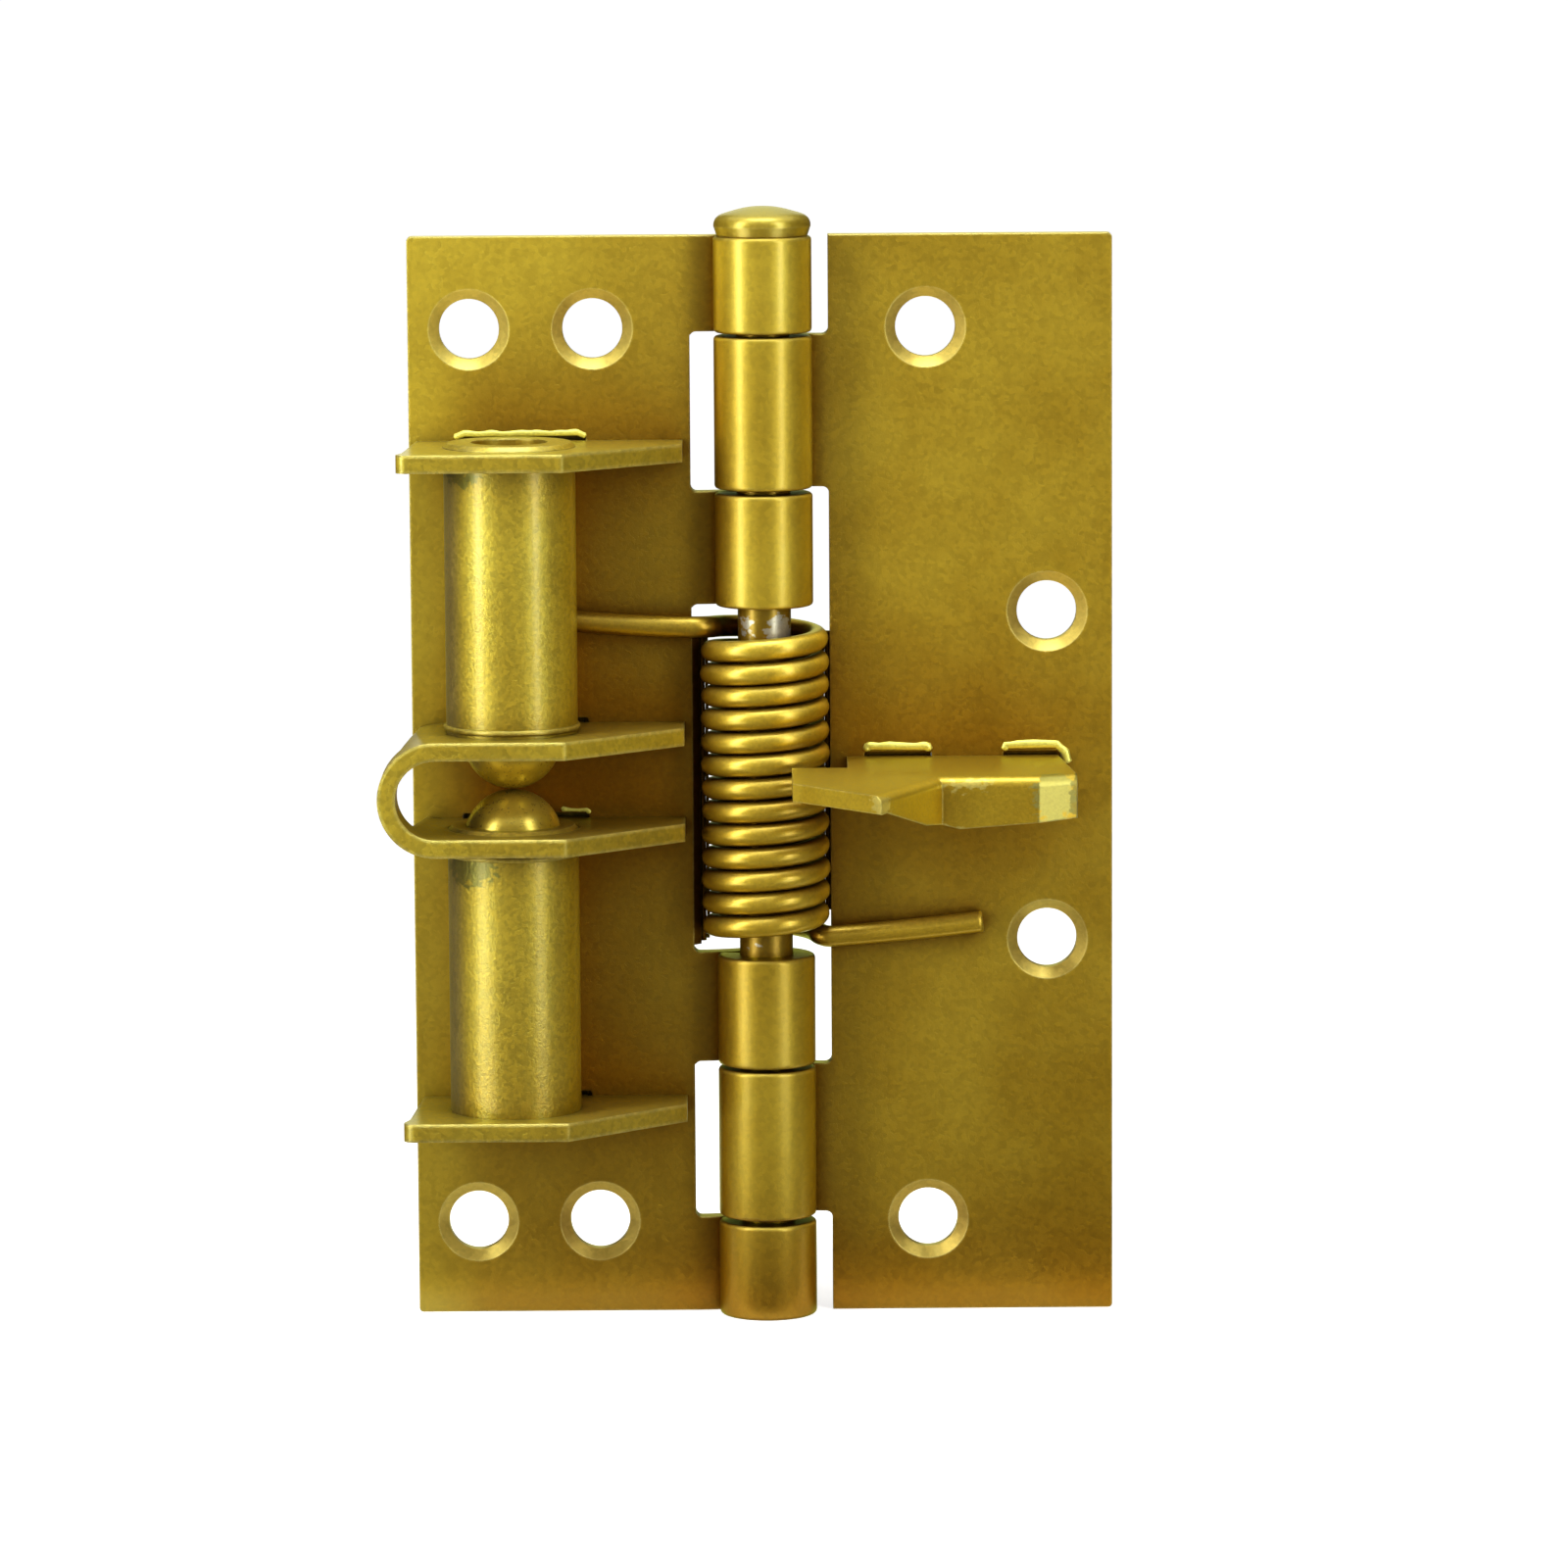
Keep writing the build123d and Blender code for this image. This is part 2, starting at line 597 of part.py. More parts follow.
SUB_PARTS = {
    "left_leaf": left_leaf,
    "right_leaf": right_leaf,
    "hinge_pin": hinge_pin,
    "torsion_spring": torsion_spring,
    "top_end_plate": lambda: end_plate(end_plate_z()),
    "bottom_end_plate": lambda: end_plate(mirrored(end_plate_z())),
    "u_bracket": u_bracket,
    "upper_tube": lambda: catch_tube(True),
    "lower_tube": lambda: catch_tube(False),
    "upper_ball": lambda: catch_ball(True),
    "lower_ball": lambda: catch_ball(False),
    "upper_catch_spring": lambda: catch_spring(True),
    "lower_catch_spring": lambda: catch_spring(False),
    "upper_tube_plug": lambda: tube_plug(True),
    "lower_tube_plug": lambda: tube_plug(False),
    "catch_tongue": catch_tongue,
}

os.makedirs("parts", exist_ok=True)
for name, build in SUB_PARTS.items():
    piece = build().moved(TO_MOUNT_ORIGIN)
    export_step(piece, f"parts/{name}.step")
    print(name, round(piece.volume, 1), "mm3")
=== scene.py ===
# %% [markdown]
# # Gold-painted spring hinge
#
# A self-closing door hinge with a coil round its pin and a ball catch that holds it open. The
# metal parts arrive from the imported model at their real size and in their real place. This
# lesson winds the three wire springs again in finer detail, adds the marks that the presses
# left, gives every part its paint, and lights the hinge on a plain white ground.

# %% Load the hinge
import json
import math

import bmesh
import bpy
from mathutils import Matrix, Vector, noise

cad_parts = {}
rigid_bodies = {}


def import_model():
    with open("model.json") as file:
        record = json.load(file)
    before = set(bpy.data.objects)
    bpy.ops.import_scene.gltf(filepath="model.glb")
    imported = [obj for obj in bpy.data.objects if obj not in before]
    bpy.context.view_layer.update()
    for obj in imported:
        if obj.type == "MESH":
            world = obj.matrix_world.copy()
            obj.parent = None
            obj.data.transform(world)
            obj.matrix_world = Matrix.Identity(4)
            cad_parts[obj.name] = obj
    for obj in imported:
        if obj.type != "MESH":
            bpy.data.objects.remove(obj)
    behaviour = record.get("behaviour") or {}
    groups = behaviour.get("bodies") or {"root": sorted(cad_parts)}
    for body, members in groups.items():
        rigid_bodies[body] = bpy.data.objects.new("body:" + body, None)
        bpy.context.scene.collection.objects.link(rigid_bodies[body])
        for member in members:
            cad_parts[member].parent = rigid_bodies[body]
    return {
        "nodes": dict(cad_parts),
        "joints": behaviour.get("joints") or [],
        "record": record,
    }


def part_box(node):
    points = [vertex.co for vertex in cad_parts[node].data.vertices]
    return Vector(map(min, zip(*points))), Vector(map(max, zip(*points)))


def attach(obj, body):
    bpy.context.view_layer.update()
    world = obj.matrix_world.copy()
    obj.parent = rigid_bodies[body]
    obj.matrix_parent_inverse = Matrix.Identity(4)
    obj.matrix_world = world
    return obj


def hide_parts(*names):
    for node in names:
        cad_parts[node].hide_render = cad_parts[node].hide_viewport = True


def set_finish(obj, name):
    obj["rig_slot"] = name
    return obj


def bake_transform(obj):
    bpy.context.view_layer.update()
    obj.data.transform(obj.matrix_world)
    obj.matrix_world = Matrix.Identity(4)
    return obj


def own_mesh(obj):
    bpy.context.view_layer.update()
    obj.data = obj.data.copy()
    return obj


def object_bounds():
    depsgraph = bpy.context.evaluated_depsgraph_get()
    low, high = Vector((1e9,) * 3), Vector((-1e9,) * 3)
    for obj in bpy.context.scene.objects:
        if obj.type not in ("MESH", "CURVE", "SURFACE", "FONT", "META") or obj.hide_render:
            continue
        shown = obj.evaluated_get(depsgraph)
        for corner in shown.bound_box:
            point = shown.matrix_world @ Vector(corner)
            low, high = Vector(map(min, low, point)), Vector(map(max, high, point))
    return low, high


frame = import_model()
nodes = frame["nodes"]
cad_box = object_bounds()
mm = 0.001
print(len(nodes), "parts,", [round(v / mm, 1) for v in cad_box[1] - cad_box[0]], "mm overall")

# %% [markdown]
# The hinge folds about its pin, so wires and marks are placed from the pin's axis: x to the
# right of it, y behind it and z up from the leaves' foot, all in mm. The axis comes from the
# fold joint and the foot from the left leaf's own box, so that they can't drift apart from the
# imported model.

# %% Find the pin and the leaves
fold_joint = next(joint for joint in frame["joints"] if joint["name"] == "leaf_fold")
BODY_FIXED, BODY_MOVING = fold_joint["parent"], fold_joint["child"]
pin_x, pin_y, _ = fold_joint["pos_m"]
leaf_foot_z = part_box("left_leaf")[0].z
LEAF_FRONT = 1.0  # the leaves' front faces lie this far behind the pin's axis


def from_pin(x, y, z):
    """A point measured in mm from the pin's foot, in the model's metres."""
    return Vector((pin_x + x * mm, pin_y + y * mm, leaf_foot_z + z * mm))


print("pin at", round(pin_x / mm, 2), round(pin_y / mm, 2), "mm; folds", BODY_MOVING)

# %% [markdown]
# ## Camera
#
# The picture was taken from straight in front and a little above, from about 70 cm. The long
# lens keeps the leaves almost rectangular, and the height shows the tops of the bracket's
# plates. The slight roll is the photographer's. The Standard view transform shows each colour
# about as it is written.

# %% Place the camera
CAMERA_POSITION = Vector((19.4, -683.0, 91.2)) * mm
CAMERA_TURN = math.radians(0.30)
CAMERA_DOWN = math.radians(7.68)
CAMERA_ROLL = math.radians(-0.35)
LENS_MM = 171.0
SENSOR_MM = 36.0


def add_object(name, data):
    """A new object in the scene for some data: a camera, a mesh or a light."""
    thing = bpy.data.objects.new(name, data)
    bpy.context.scene.collection.objects.link(thing)
    return thing


def add_camera():
    camera_data = bpy.data.cameras.new("camera")
    camera_data.lens = LENS_MM
    camera_data.sensor_width = SENSOR_MM
    camera = add_object("camera", camera_data)
    facing = Matrix.Rotation(-CAMERA_TURN, 4, "Z")
    tilted = Matrix.Rotation(math.radians(90) - CAMERA_DOWN, 4, "X")
    rolled = Matrix.Rotation(CAMERA_ROLL, 4, "Z")
    camera.matrix_world = Matrix.Translation(CAMERA_POSITION) @ facing @ tilted @ rolled
    bpy.context.scene.camera = camera


add_camera()
bpy.context.scene.view_settings.view_transform = "Standard"
print("camera", round((CAMERA_POSITION - Vector((pin_x, pin_y, 0))).length, 3), "m from the pin")

# %% [markdown]
# ## Drawing wire
#
# All springs here are round wire, and so are the small ridges that a punch raises. A curve
# object with a round bevel could draw them, but a mesh keeps its faces under control. One
# function carries a ring of points along a path and closes both ends. The ring turns with the
# path without twisting, which keeps the faces even round a tight coil.


# %% A function that sweeps a wire
def mesh_object(name, shape):
    """A new object with the mesh that was built in shape, a bmesh, which is then freed."""
    mesh = bpy.data.meshes.new(name)
    shape.to_mesh(mesh)
    shape.free()
    return add_object(name, mesh)


def swept_wire(name, path, radius, sides):
    """A closed mesh of round wire through points in metres. The radius, in mm, is one number
    or one for each point."""
    radii = radius if isinstance(radius, (list, tuple)) else [radius] * len(path)
    shape = bmesh.new()
    rings = []
    across = None
    for index, point in enumerate(path):
        ahead = path[min(index + 1, len(path) - 1)] - path[max(index - 1, 0)]
        ahead.normalize()
        if across is None:
            across = ahead.orthogonal().normalized()
        across = (across - ahead * across.dot(ahead)).normalized()
        up = ahead.cross(across)
        ring = []
        for side in range(sides):
            turn = 2 * math.pi * side / sides
            offset = across * math.cos(turn) + up * math.sin(turn)
            ring.append(shape.verts.new(point + offset * radii[index] * mm))
        rings.append(ring)
    for near, far in zip(rings, rings[1:]):
        for side in range(sides):
            after = (side + 1) % sides
            shape.faces.new((near[side], near[after], far[after], far[side])).smooth = True
    shape.faces.new(list(reversed(rings[0])))
    shape.faces.new(rings[-1])
    return mesh_object(name, shape)


print("wire can be swept")

# %% [markdown]
# A bend between two straight runs of wire must leave the one and meet the other without a
# kink. A cubic curve does that: it is given a push in the right direction at each end, and a
# longer push makes a rounder bend. Nothing in pressed and wound metal is quite straight either,
# so a smooth noise is at hand. It is the same on every run.


# %% Bends and unevenness
def bend(start, start_push, end, end_push, steps):
    """Points between two ends that leave and arrive along the given pushes."""
    points = []
    for step in range(1, steps):
        t = step / steps
        points.append(
            start * (2 * t**3 - 3 * t**2 + 1)
            + start_push * (t**3 - 2 * t**2 + t)
            + end * (3 * t**2 - 2 * t**3)
            + end_push * (t**3 - t**2)
        )
    return points


def between(pair, steps):
    """Evenly spaced numbers from the first of the pair to the second."""
    return [pair[0] + (pair[1] - pair[0]) * step / steps for step in range(steps + 1)]


def uneven(*place):
    """Smooth noise at three coordinates, from about -1 to 1."""
    return noise.noise(Vector(place))


print("uneven at three places:", [round(uneven(x, 0.5, 0.5), 2) for x in (0.2, 0.5, 0.8)])

# %% [markdown]
# ## The torsion spring
#
# The spring that shuts the door is wound close from 2 mm wire. Winding is never perfect: the
# turns lean against each other here and stand a hair apart there, so each turn's height and
# radius drift slowly. Both tails leave the back of the coil, pass beside a leaf and press on
# the leaf's face, where they bow under the load.

# %% Draw the spring's centre line
COIL_RADIUS = 4.9
COIL_WIRE = 1.0
COIL_PITCH = 2.125
COIL_START_DEGREES = 11.53
COIL_START_HEIGHT = 35.474
COIL_TURNS = 13.422
COIL_LEAN, LEANS_PER_TURN = 0.14, 0.9
COIL_DRIFT, DRIFTS_PER_TURN = 0.13, 0.45


def coil_point(turns):
    """A point of the coil's centre line, a number of turns from its lower end."""
    settled = min(1.0, turns, COIL_TURNS - turns)
    lean = COIL_LEAN * uneven(turns * LEANS_PER_TURN, 8.7, 0.0) * settled
    drift = COIL_DRIFT * uneven(turns * DRIFTS_PER_TURN, 3.1, 0.0) * settled
    angle = math.radians(COIL_START_DEGREES) + 2 * math.pi * turns
    radius = COIL_RADIUS + lean
    height = COIL_START_HEIGHT + COIL_PITCH * turns + drift
    return from_pin(radius * math.cos(angle), radius * math.sin(angle), height)


print("coil", round(COIL_TURNS * COIL_PITCH, 1), "mm high")

# %% [markdown]
# The tails are nearly straight, so a short formula gives their height at each distance from the
# pin. They lie on the leaves' front faces: the centre line stands the wire's radius in front of
# them, and a hair more.

# %% Draw the tails' centre lines
TAIL_Y = LEAF_FRONT - COIL_WIRE - 0.02
LOWER_TAIL_X = (20.0, 6.1)
LOWER_TAIL_FOOT = (7.0, 35.35)
LOWER_TAIL_SLOPE, LOWER_TAIL_BOW = 0.07, 0.002
UPPER_TAIL_X = (-6.7, -18.7)
UPPER_TAIL_LEVEL, UPPER_TAIL_RISE = 64.1, 0.75


def lower_tail_point(x):
    """The tail on the moving leaf rises to its end and bows a little."""
    along = x - LOWER_TAIL_FOOT[0]
    rise = LOWER_TAIL_SLOPE * along + LOWER_TAIL_BOW * along**2
    return from_pin(x, TAIL_Y, LOWER_TAIL_FOOT[1] + rise)


def upper_tail_point(x):
    """The tail on the fixed leaf is lowest at the coil and rises in a bow to its end."""
    along = (x - UPPER_TAIL_X[0]) / (UPPER_TAIL_X[1] - UPPER_TAIL_X[0])
    return from_pin(x, TAIL_Y, UPPER_TAIL_LEVEL + UPPER_TAIL_RISE * along**1.5)


print("tails end", LOWER_TAIL_X[0], "and", UPPER_TAIL_X[1], "mm from the pin")

# %% [markdown]
# When the hinge folds, the coil winds up: its lower tail goes with the moving leaf and its upper
# tail stays. A rigid mesh would tear away from one of them. Here the spring is swept as one mesh
# at rest, from the lower tail through the coil to the upper tail; it takes the place of the
# imported spring and is tied to neither leaf.

# %% Wind the torsion spring
STEPS_PER_TURN = 44
LOWER_BEND_PUSH = 2.0 * mm
UPPER_BEND_PUSH = 3.0 * mm


def wind_torsion_spring():
    lower_tail = [lower_tail_point(x) for x in between(LOWER_TAIL_X, steps=30)]
    turn_steps = int(COIL_TURNS * STEPS_PER_TURN)
    coil = [coil_point(COIL_TURNS * step / turn_steps) for step in range(turn_steps + 1)]
    upper_tail = [upper_tail_point(x) for x in between(UPPER_TAIL_X, steps=26)]
    lower_push = (lower_tail[-1] - lower_tail[-2]).normalized() * LOWER_BEND_PUSH
    coil_in = (coil[1] - coil[0]).normalized() * LOWER_BEND_PUSH
    coil_out = (coil[-1] - coil[-2]).normalized() * UPPER_BEND_PUSH
    upper_push = (upper_tail[1] - upper_tail[0]).normalized() * UPPER_BEND_PUSH
    lower_bend = bend(lower_tail[-1], lower_push, coil[0], coil_in, steps=10)
    upper_bend = bend(coil[-1], coil_out, upper_tail[0], upper_push, steps=14)
    path = lower_tail + lower_bend + coil + upper_bend + upper_tail
    spring = swept_wire("torsion_spring_wound", path, COIL_WIRE, sides=18)
    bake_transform(spring)
    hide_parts("torsion_spring")
    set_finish(spring, "coil_finish")
    return spring


torsion_spring = wind_torsion_spring()
print("torsion spring", len(torsion_spring.data.vertices), "points")

# %% [markdown]
# ## The catch springs
#
# Each tube holds a compression spring that pushes its ball out. Such a spring has closed ends:
# its first and last turns lie flat, so that it stands square on the plug and seats on the ball.
# The tubes hide both springs, so they are wound evenly.

# %% Wind the catch springs
CATCH_WIRE = 0.5
CATCH_TURNS = 7.0
CATCH_CLOSED_TURNS = 0.9
CATCH_CLOSED_RISE = 0.06  # share of the height that the closed turns take at each end
CATCH_STEPS_PER_TURN = 32


def catch_spring_rise(turns):
    """How far up the spring a turn lies, from 0 to 1. It rises slowly in the closed turns."""
    open_turns = CATCH_TURNS - 2 * CATCH_CLOSED_TURNS
    opened = min(max((turns - CATCH_CLOSED_TURNS) / open_turns, 0.0), 1.0)
    closed = (turns - CATCH_CLOSED_TURNS - opened * open_turns) / CATCH_CLOSED_TURNS
    return CATCH_CLOSED_RISE * (1 + closed) + (1 - 2 * CATCH_CLOSED_RISE) * opened


def wind_catch_spring(node):
    low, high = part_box(node)
    centre = (low + high) / 2
    radius = (high.x - low.x) / 2 - CATCH_WIRE * mm
    bottom, top = low.z + CATCH_WIRE * mm, high.z - CATCH_WIRE * mm
    path = []
    for turns in between((0.0, CATCH_TURNS), steps=int(CATCH_TURNS * CATCH_STEPS_PER_TURN)):
        angle = 2 * math.pi * turns
        x, y = centre.x + radius * math.cos(angle), centre.y + radius * math.sin(angle)
        path.append(Vector((x, y, bottom + (top - bottom) * catch_spring_rise(turns))))
    spring = swept_wire(node + "_wound", path, CATCH_WIRE, sides=12)
    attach(spring, BODY_FIXED)
    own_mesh(spring)
    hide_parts(node)
    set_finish(spring, "catch_spring_wire")


wind_catch_spring("upper_catch_spring")
wind_catch_spring("lower_catch_spring")

# %% [markdown]
# ## Ridges beside the slots
#
# The slots for the tabs were punched from the back, and the punch pushed up a ridge of metal
# along the front edge of each slot. Two ridges show above the tongue's tabs, one above the top
# plate's tab and one beside the lower leg of the U. The leaf's own mesh comes from the packed
# model and stays as it is, so each ridge is a thick wire, sunk in the leaf until only its top
# stands proud.

# %% Raise the ridges
RIDGE_STEPS_PER_MM = 6
RIDGE_WAVES_PER_MM = 0.9
RIDGE_HEIGHT = (0.9, 0.4)  # shares of proud: everywhere, and more or less by the noise
RIDGE_WANDER = 0.08
RIDGE_SWELL = 0.2
RIDGE_END = 0.3


def ridge(name, corners, radius, proud, body):
    """An uneven ridge on a leaf's front face along (x, z) corners in mm."""
    path, radii = [], []
    for (x0, z0), (x1, z1) in zip(corners, corners[1:]):
        steps = max(2, int(math.hypot(x1 - x0, z1 - z0) * RIDGE_STEPS_PER_MM))
        for step in range(steps):
            x = x0 + (x1 - x0) * step / steps
            z = z0 + (z1 - z0) * step / steps
            rough = uneven(x * RIDGE_WAVES_PER_MM, z * RIDGE_WAVES_PER_MM, 5.0)
            sunk = LEAF_FRONT + radius - proud * (RIDGE_HEIGHT[0] + RIDGE_HEIGHT[1] * rough)
            path.append(from_pin(x, sunk, z + RIDGE_WANDER * rough))
            radii.append(radius * (1 + RIDGE_SWELL * rough))
    radii[0] = radii[-1] = radius * RIDGE_END
    piece = swept_wire(name, path, radii, sides=12)
    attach(piece, body)
    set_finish(piece, "leaf_finish")
    return piece


ridges = [
    ridge("left_tongue_ridge", [(9.3, 52.3), (9.4, 52.85), (15.0, 52.8), (15.3, 52.2)],
          radius=0.42, proud=0.28, body=BODY_MOVING),
    ridge("right_tongue_ridge",
          [(22.0, 52.3), (22.2, 52.9), (26.9, 52.95), (27.7, 52.2), (28.0, 50.9)],
          radius=0.45, proud=0.3, body=BODY_MOVING),
    ridge("top_plate_ridge", [(-28.4, 81.6), (-27.4, 81.95), (-17.0, 82.0), (-16.0, 81.6)],
          radius=0.3, proud=0.18, body=BODY_FIXED),
    ridge("lower_leg_ridge", [(-18.9, 47.15), (-16.5, 47.1), (-16.0, 46.6)],
          radius=0.26, proud=0.14, body=BODY_FIXED),
]
print("ridges", [piece.name for piece in ridges])

# %% [markdown]
# ## Torn edges beside the coil
#
# The coil turns in a window of the left leaf and close to the right leaf's edge. A punch shears
# only the first part of a sheet's thickness and tears the rest, so the back of the cut keeps a
# rough lip that reaches towards the coil. The lip is what makes the gaps beside the turns dark:
# without it the white ground would shine through them. Two thin uneven wires on each side make
# it. They stay clear of the coil when the hinge folds.

# %% Leave the torn edges
TORN_STEPS = 120
TORN_WAVES_PER_MM = 0.6
TORN_WANDER = (0.05, 0.04)


def torn_edge(name, x, y, radius, low, high, body):
    """An upright uneven wire from a low to a high point, measured in mm from the pin."""
    path = []
    for z in between((low, high), TORN_STEPS):
        rough = uneven(0.0, x, z * TORN_WAVES_PER_MM)
        path.append(from_pin(x + TORN_WANDER[0] * rough, y + TORN_WANDER[1] * rough, z))
    edge = swept_wire(name, path, radius, sides=8)
    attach(edge, body)
    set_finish(edge, "leaf_finish")
    return edge


torn_edges = [
    torn_edge("window_edge", -5.8, 2.66, 0.28, low=34.6, high=63.1, body=BODY_FIXED),
    torn_edge("window_lip", -5.36, 2.82, 0.15, low=34.8, high=62.9, body=BODY_FIXED),
    torn_edge("moving_leaf_edge", 5.8, 2.66, 0.28, low=37.4, high=63.4, body=BODY_MOVING),
    torn_edge("moving_leaf_lip", 5.36, 2.82, 0.15, low=37.6, high=63.2, body=BODY_MOVING),
]
print("torn edges", [piece.name for piece in torn_edges])

# %% [markdown]
# ## Beads where the tubes were swaged in
#
# The tubes were swaged into the legs of the U: the metal that was squeezed out stands as a small
# bead round each tube. A torus would be too even for it, so a thin wire goes round the tube, half
# sunk in it and wandering a little. Its height comes from the U bracket's own box.

# %% Squeeze out the beads
BEAD_RADIUS = 0.28
BEAD_STEPS = 96
BEAD_WANDER = 0.12
BEAD_WAVES = 2.0
BEAD_OFF_LEG = 0.1 * mm


def swaged_bead(name, tube_node, z):
    """A thin uneven ring of squeezed metal round a tube, at a height in metres."""
    low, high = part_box(tube_node)
    centre = (low + high) / 2
    tube_radius = (high.x - low.x) / 2
    path = []
    for angle in between((0.0, 2 * math.pi), BEAD_STEPS):
        x, y = math.cos(angle), math.sin(angle)
        rough = uneven(x * BEAD_WAVES, y * BEAD_WAVES, (z - leaf_foot_z) / mm)
        reach = tube_radius + BEAD_WANDER * rough * mm
        path.append(Vector((centre.x + x * reach, centre.y + y * reach, z)))
    bead = swept_wire(name, path, BEAD_RADIUS, sides=10)
    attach(bead, BODY_FIXED)
    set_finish(bead, "bracket_finish")
    return bead


u_foot, u_top = (corner.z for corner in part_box("u_bracket"))
beads = [
    swaged_bead("upper_leg_bead", "upper_tube", u_top + BEAD_OFF_LEG),
    swaged_bead("lower_leg_bead", "lower_tube", u_foot - BEAD_OFF_LEG),
]
print("beads", [bead.name for bead in beads])

# %% [markdown]
# ## Paint, in reusable effects
#
# The whole hinge was assembled from bare steel and then sprayed gold. The paint carries fine
# metal flake, so it glitters slightly. Its colour is painted lighter towards the upper left and
# on upward faces, and darker and browner in the shelter of other parts and in corners: painted
# light and shade. It is also worn on the edges. Each of these effects is a node group of its own,
# so that every part can have its own amount of each.


# %% Helpers for shader nodes
FLOAT, COLOUR, VECTOR = "NodeSocketFloat", "NodeSocketColor", "NodeSocketVector"


def new_group(name, inputs, outputs):
    """An empty node group, and the sockets of what it is given. Inputs are (name, socket type,
    default), outputs are (name, socket type)."""
    group = bpy.data.node_groups.new(name, "ShaderNodeTree")
    for socket_name, kind, value in inputs:
        socket = group.interface.new_socket(socket_name, in_out="INPUT", socket_type=kind)
        socket.default_value = value
    for socket_name, kind in outputs:
        group.interface.new_socket(socket_name, in_out="OUTPUT", socket_type=kind)
    return group, group.nodes.new("NodeGroupInput").outputs


def hand_out(group, **values):
    """Links values to the group's outputs of the same names."""
    result = group.nodes.new("NodeGroupOutput")
    for name, value in values.items():
        group.links.new(value, result.inputs[name])


def add_node(tree, kind, **settings):
    """A node with its settings. A setting whose name starts with in_ is an input's value."""
    node = tree.nodes.new(kind)
    for key, value in settings.items():
        if key.startswith("in_"):
            plug(tree, node.inputs[key[3:].replace("_", " ")], value)
        else:
            setattr(node, key, value)
    return node


def plug(tree, socket, value):
    """Links an output to an input, or sets the input's own value."""
    if isinstance(value, bpy.types.NodeSocket):
        tree.links.new(value, socket)
    else:
        socket.default_value = value


print("groups can be built")

# %% [markdown]
# Small functions for sums, masks and mixes keep the groups short, and each gives the socket that
# the next step needs.


# %% Helpers for numbers, vectors and colours
def math_node(tree, operation, first, second=0.0, clamp=False):
    node = add_node(tree, "ShaderNodeMath", operation=operation, use_clamp=clamp)
    plug(tree, node.inputs[0], first)
    plug(tree, node.inputs[1], second)
    return node.outputs[0]


def vector_math(tree, operation, first, second=(0.0, 0.0, 0.0)):
    node = add_node(tree, "ShaderNodeVectorMath", operation=operation)
    plug(tree, node.inputs[0], first)
    plug(tree, node.inputs[1], second)
    gives_number = operation in ("DOT_PRODUCT", "LENGTH")
    return node.outputs["Value" if gives_number else "Vector"]


def mix_colour(tree, factor, first, second):
    node = add_node(tree, "ShaderNodeMix", data_type="RGBA")
    for index, value in ((0, factor), (6, first), (7, second)):
        plug(tree, node.inputs[index], value)
    return node.outputs[2]


def spread(tree, value, low, high, smooth=True):
    """A value stretched so that low becomes 0 and high becomes 1."""
    node = add_node(tree, "ShaderNodeMapRange", in_Value=value, in_From_Min=low, in_From_Max=high)
    node.interpolation_type = "SMOOTHSTEP" if smooth else "LINEAR"
    return node.outputs["Result"]


def surface(tree, what):
    """The surface's point, "Object", or the direction that it faces, "Normal"."""
    return tree.nodes.new("ShaderNodeTexCoord").outputs[what]


def along_axis(tree, vector, axis):
    return add_node(tree, "ShaderNodeSeparateXYZ", in_Vector=vector).outputs[axis]


print("shader helpers ready")

# %% [markdown]
# ### Metal flake
#
# Flakes are far smaller than a millimetre and each lies at its own angle, so seen close up the
# paint is a mass of lighter and darker grains. A Voronoi texture gives each grain its own tone,
# and a fine noise breaks the cells up. The group gives a tone round 1, to multiply a colour by,
# and a height for a bump.


# %% Build the flake group
def build_flake_group():
    group, given = new_group(
        "metal_flake",
        [("Grain Size", FLOAT, 0.25), ("Contrast", FLOAT, 0.2)],
        [("Tone", FLOAT), ("Height", FLOAT)],
    )
    point = surface(group, "Object")
    scale = math_node(group, "DIVIDE", 1.0 / mm, given["Grain Size"])
    cells = add_node(group, "ShaderNodeTexVoronoi", in_Vector=point, in_Scale=scale)
    fine = add_node(group, "ShaderNodeTexNoise", in_Vector=point, in_Scale=scale,
                    in_Detail=2.0, in_Roughness=0.7)
    grain = add_node(group, "ShaderNodeSeparateColor", in_Color=cells.outputs["Color"])
    both = math_node(group, "ADD", grain.outputs["Red"], fine.outputs["Fac"])
    height = math_node(group, "MULTIPLY", both, 0.5)
    tone = math_node(group, "SUBTRACT", height, 0.5)
    tone = math_node(group, "MULTIPLY", tone, given["Contrast"])
    tone = math_node(group, "ADD", tone, 1.0)
    hand_out(group, Tone=tone, Height=height)
    return group


flake_group = build_flake_group()
print("group", flake_group.name)

# %% [markdown]
# ### Uneven coat and painted light
#
# The coat is painted lighter towards the upper left, where the light falls, and darker towards
# the lower right: painted light and shade. Slow clouds of noise break the fade up, as an uneven
# coat would. Faces that look upward are painted palest, a painted highlight from the light above.
# Besides the colour, the group gives the cover, from a thin, brownish, shaded coat at 0 to a
# full, lit one at 1.

# %% Build the coat and painted light group
PAINTED_LIGHT_FROM = (-0.95, 0.0, 0.25)
PAINTED_LIGHT_FADE = (-0.09, 0.025)  # metres towards the light: where the painted shade is deepest, and where the painted light is full
CLOUD_SHARE = 0.2
CLOUD_EDGES = (0.3, 0.7)


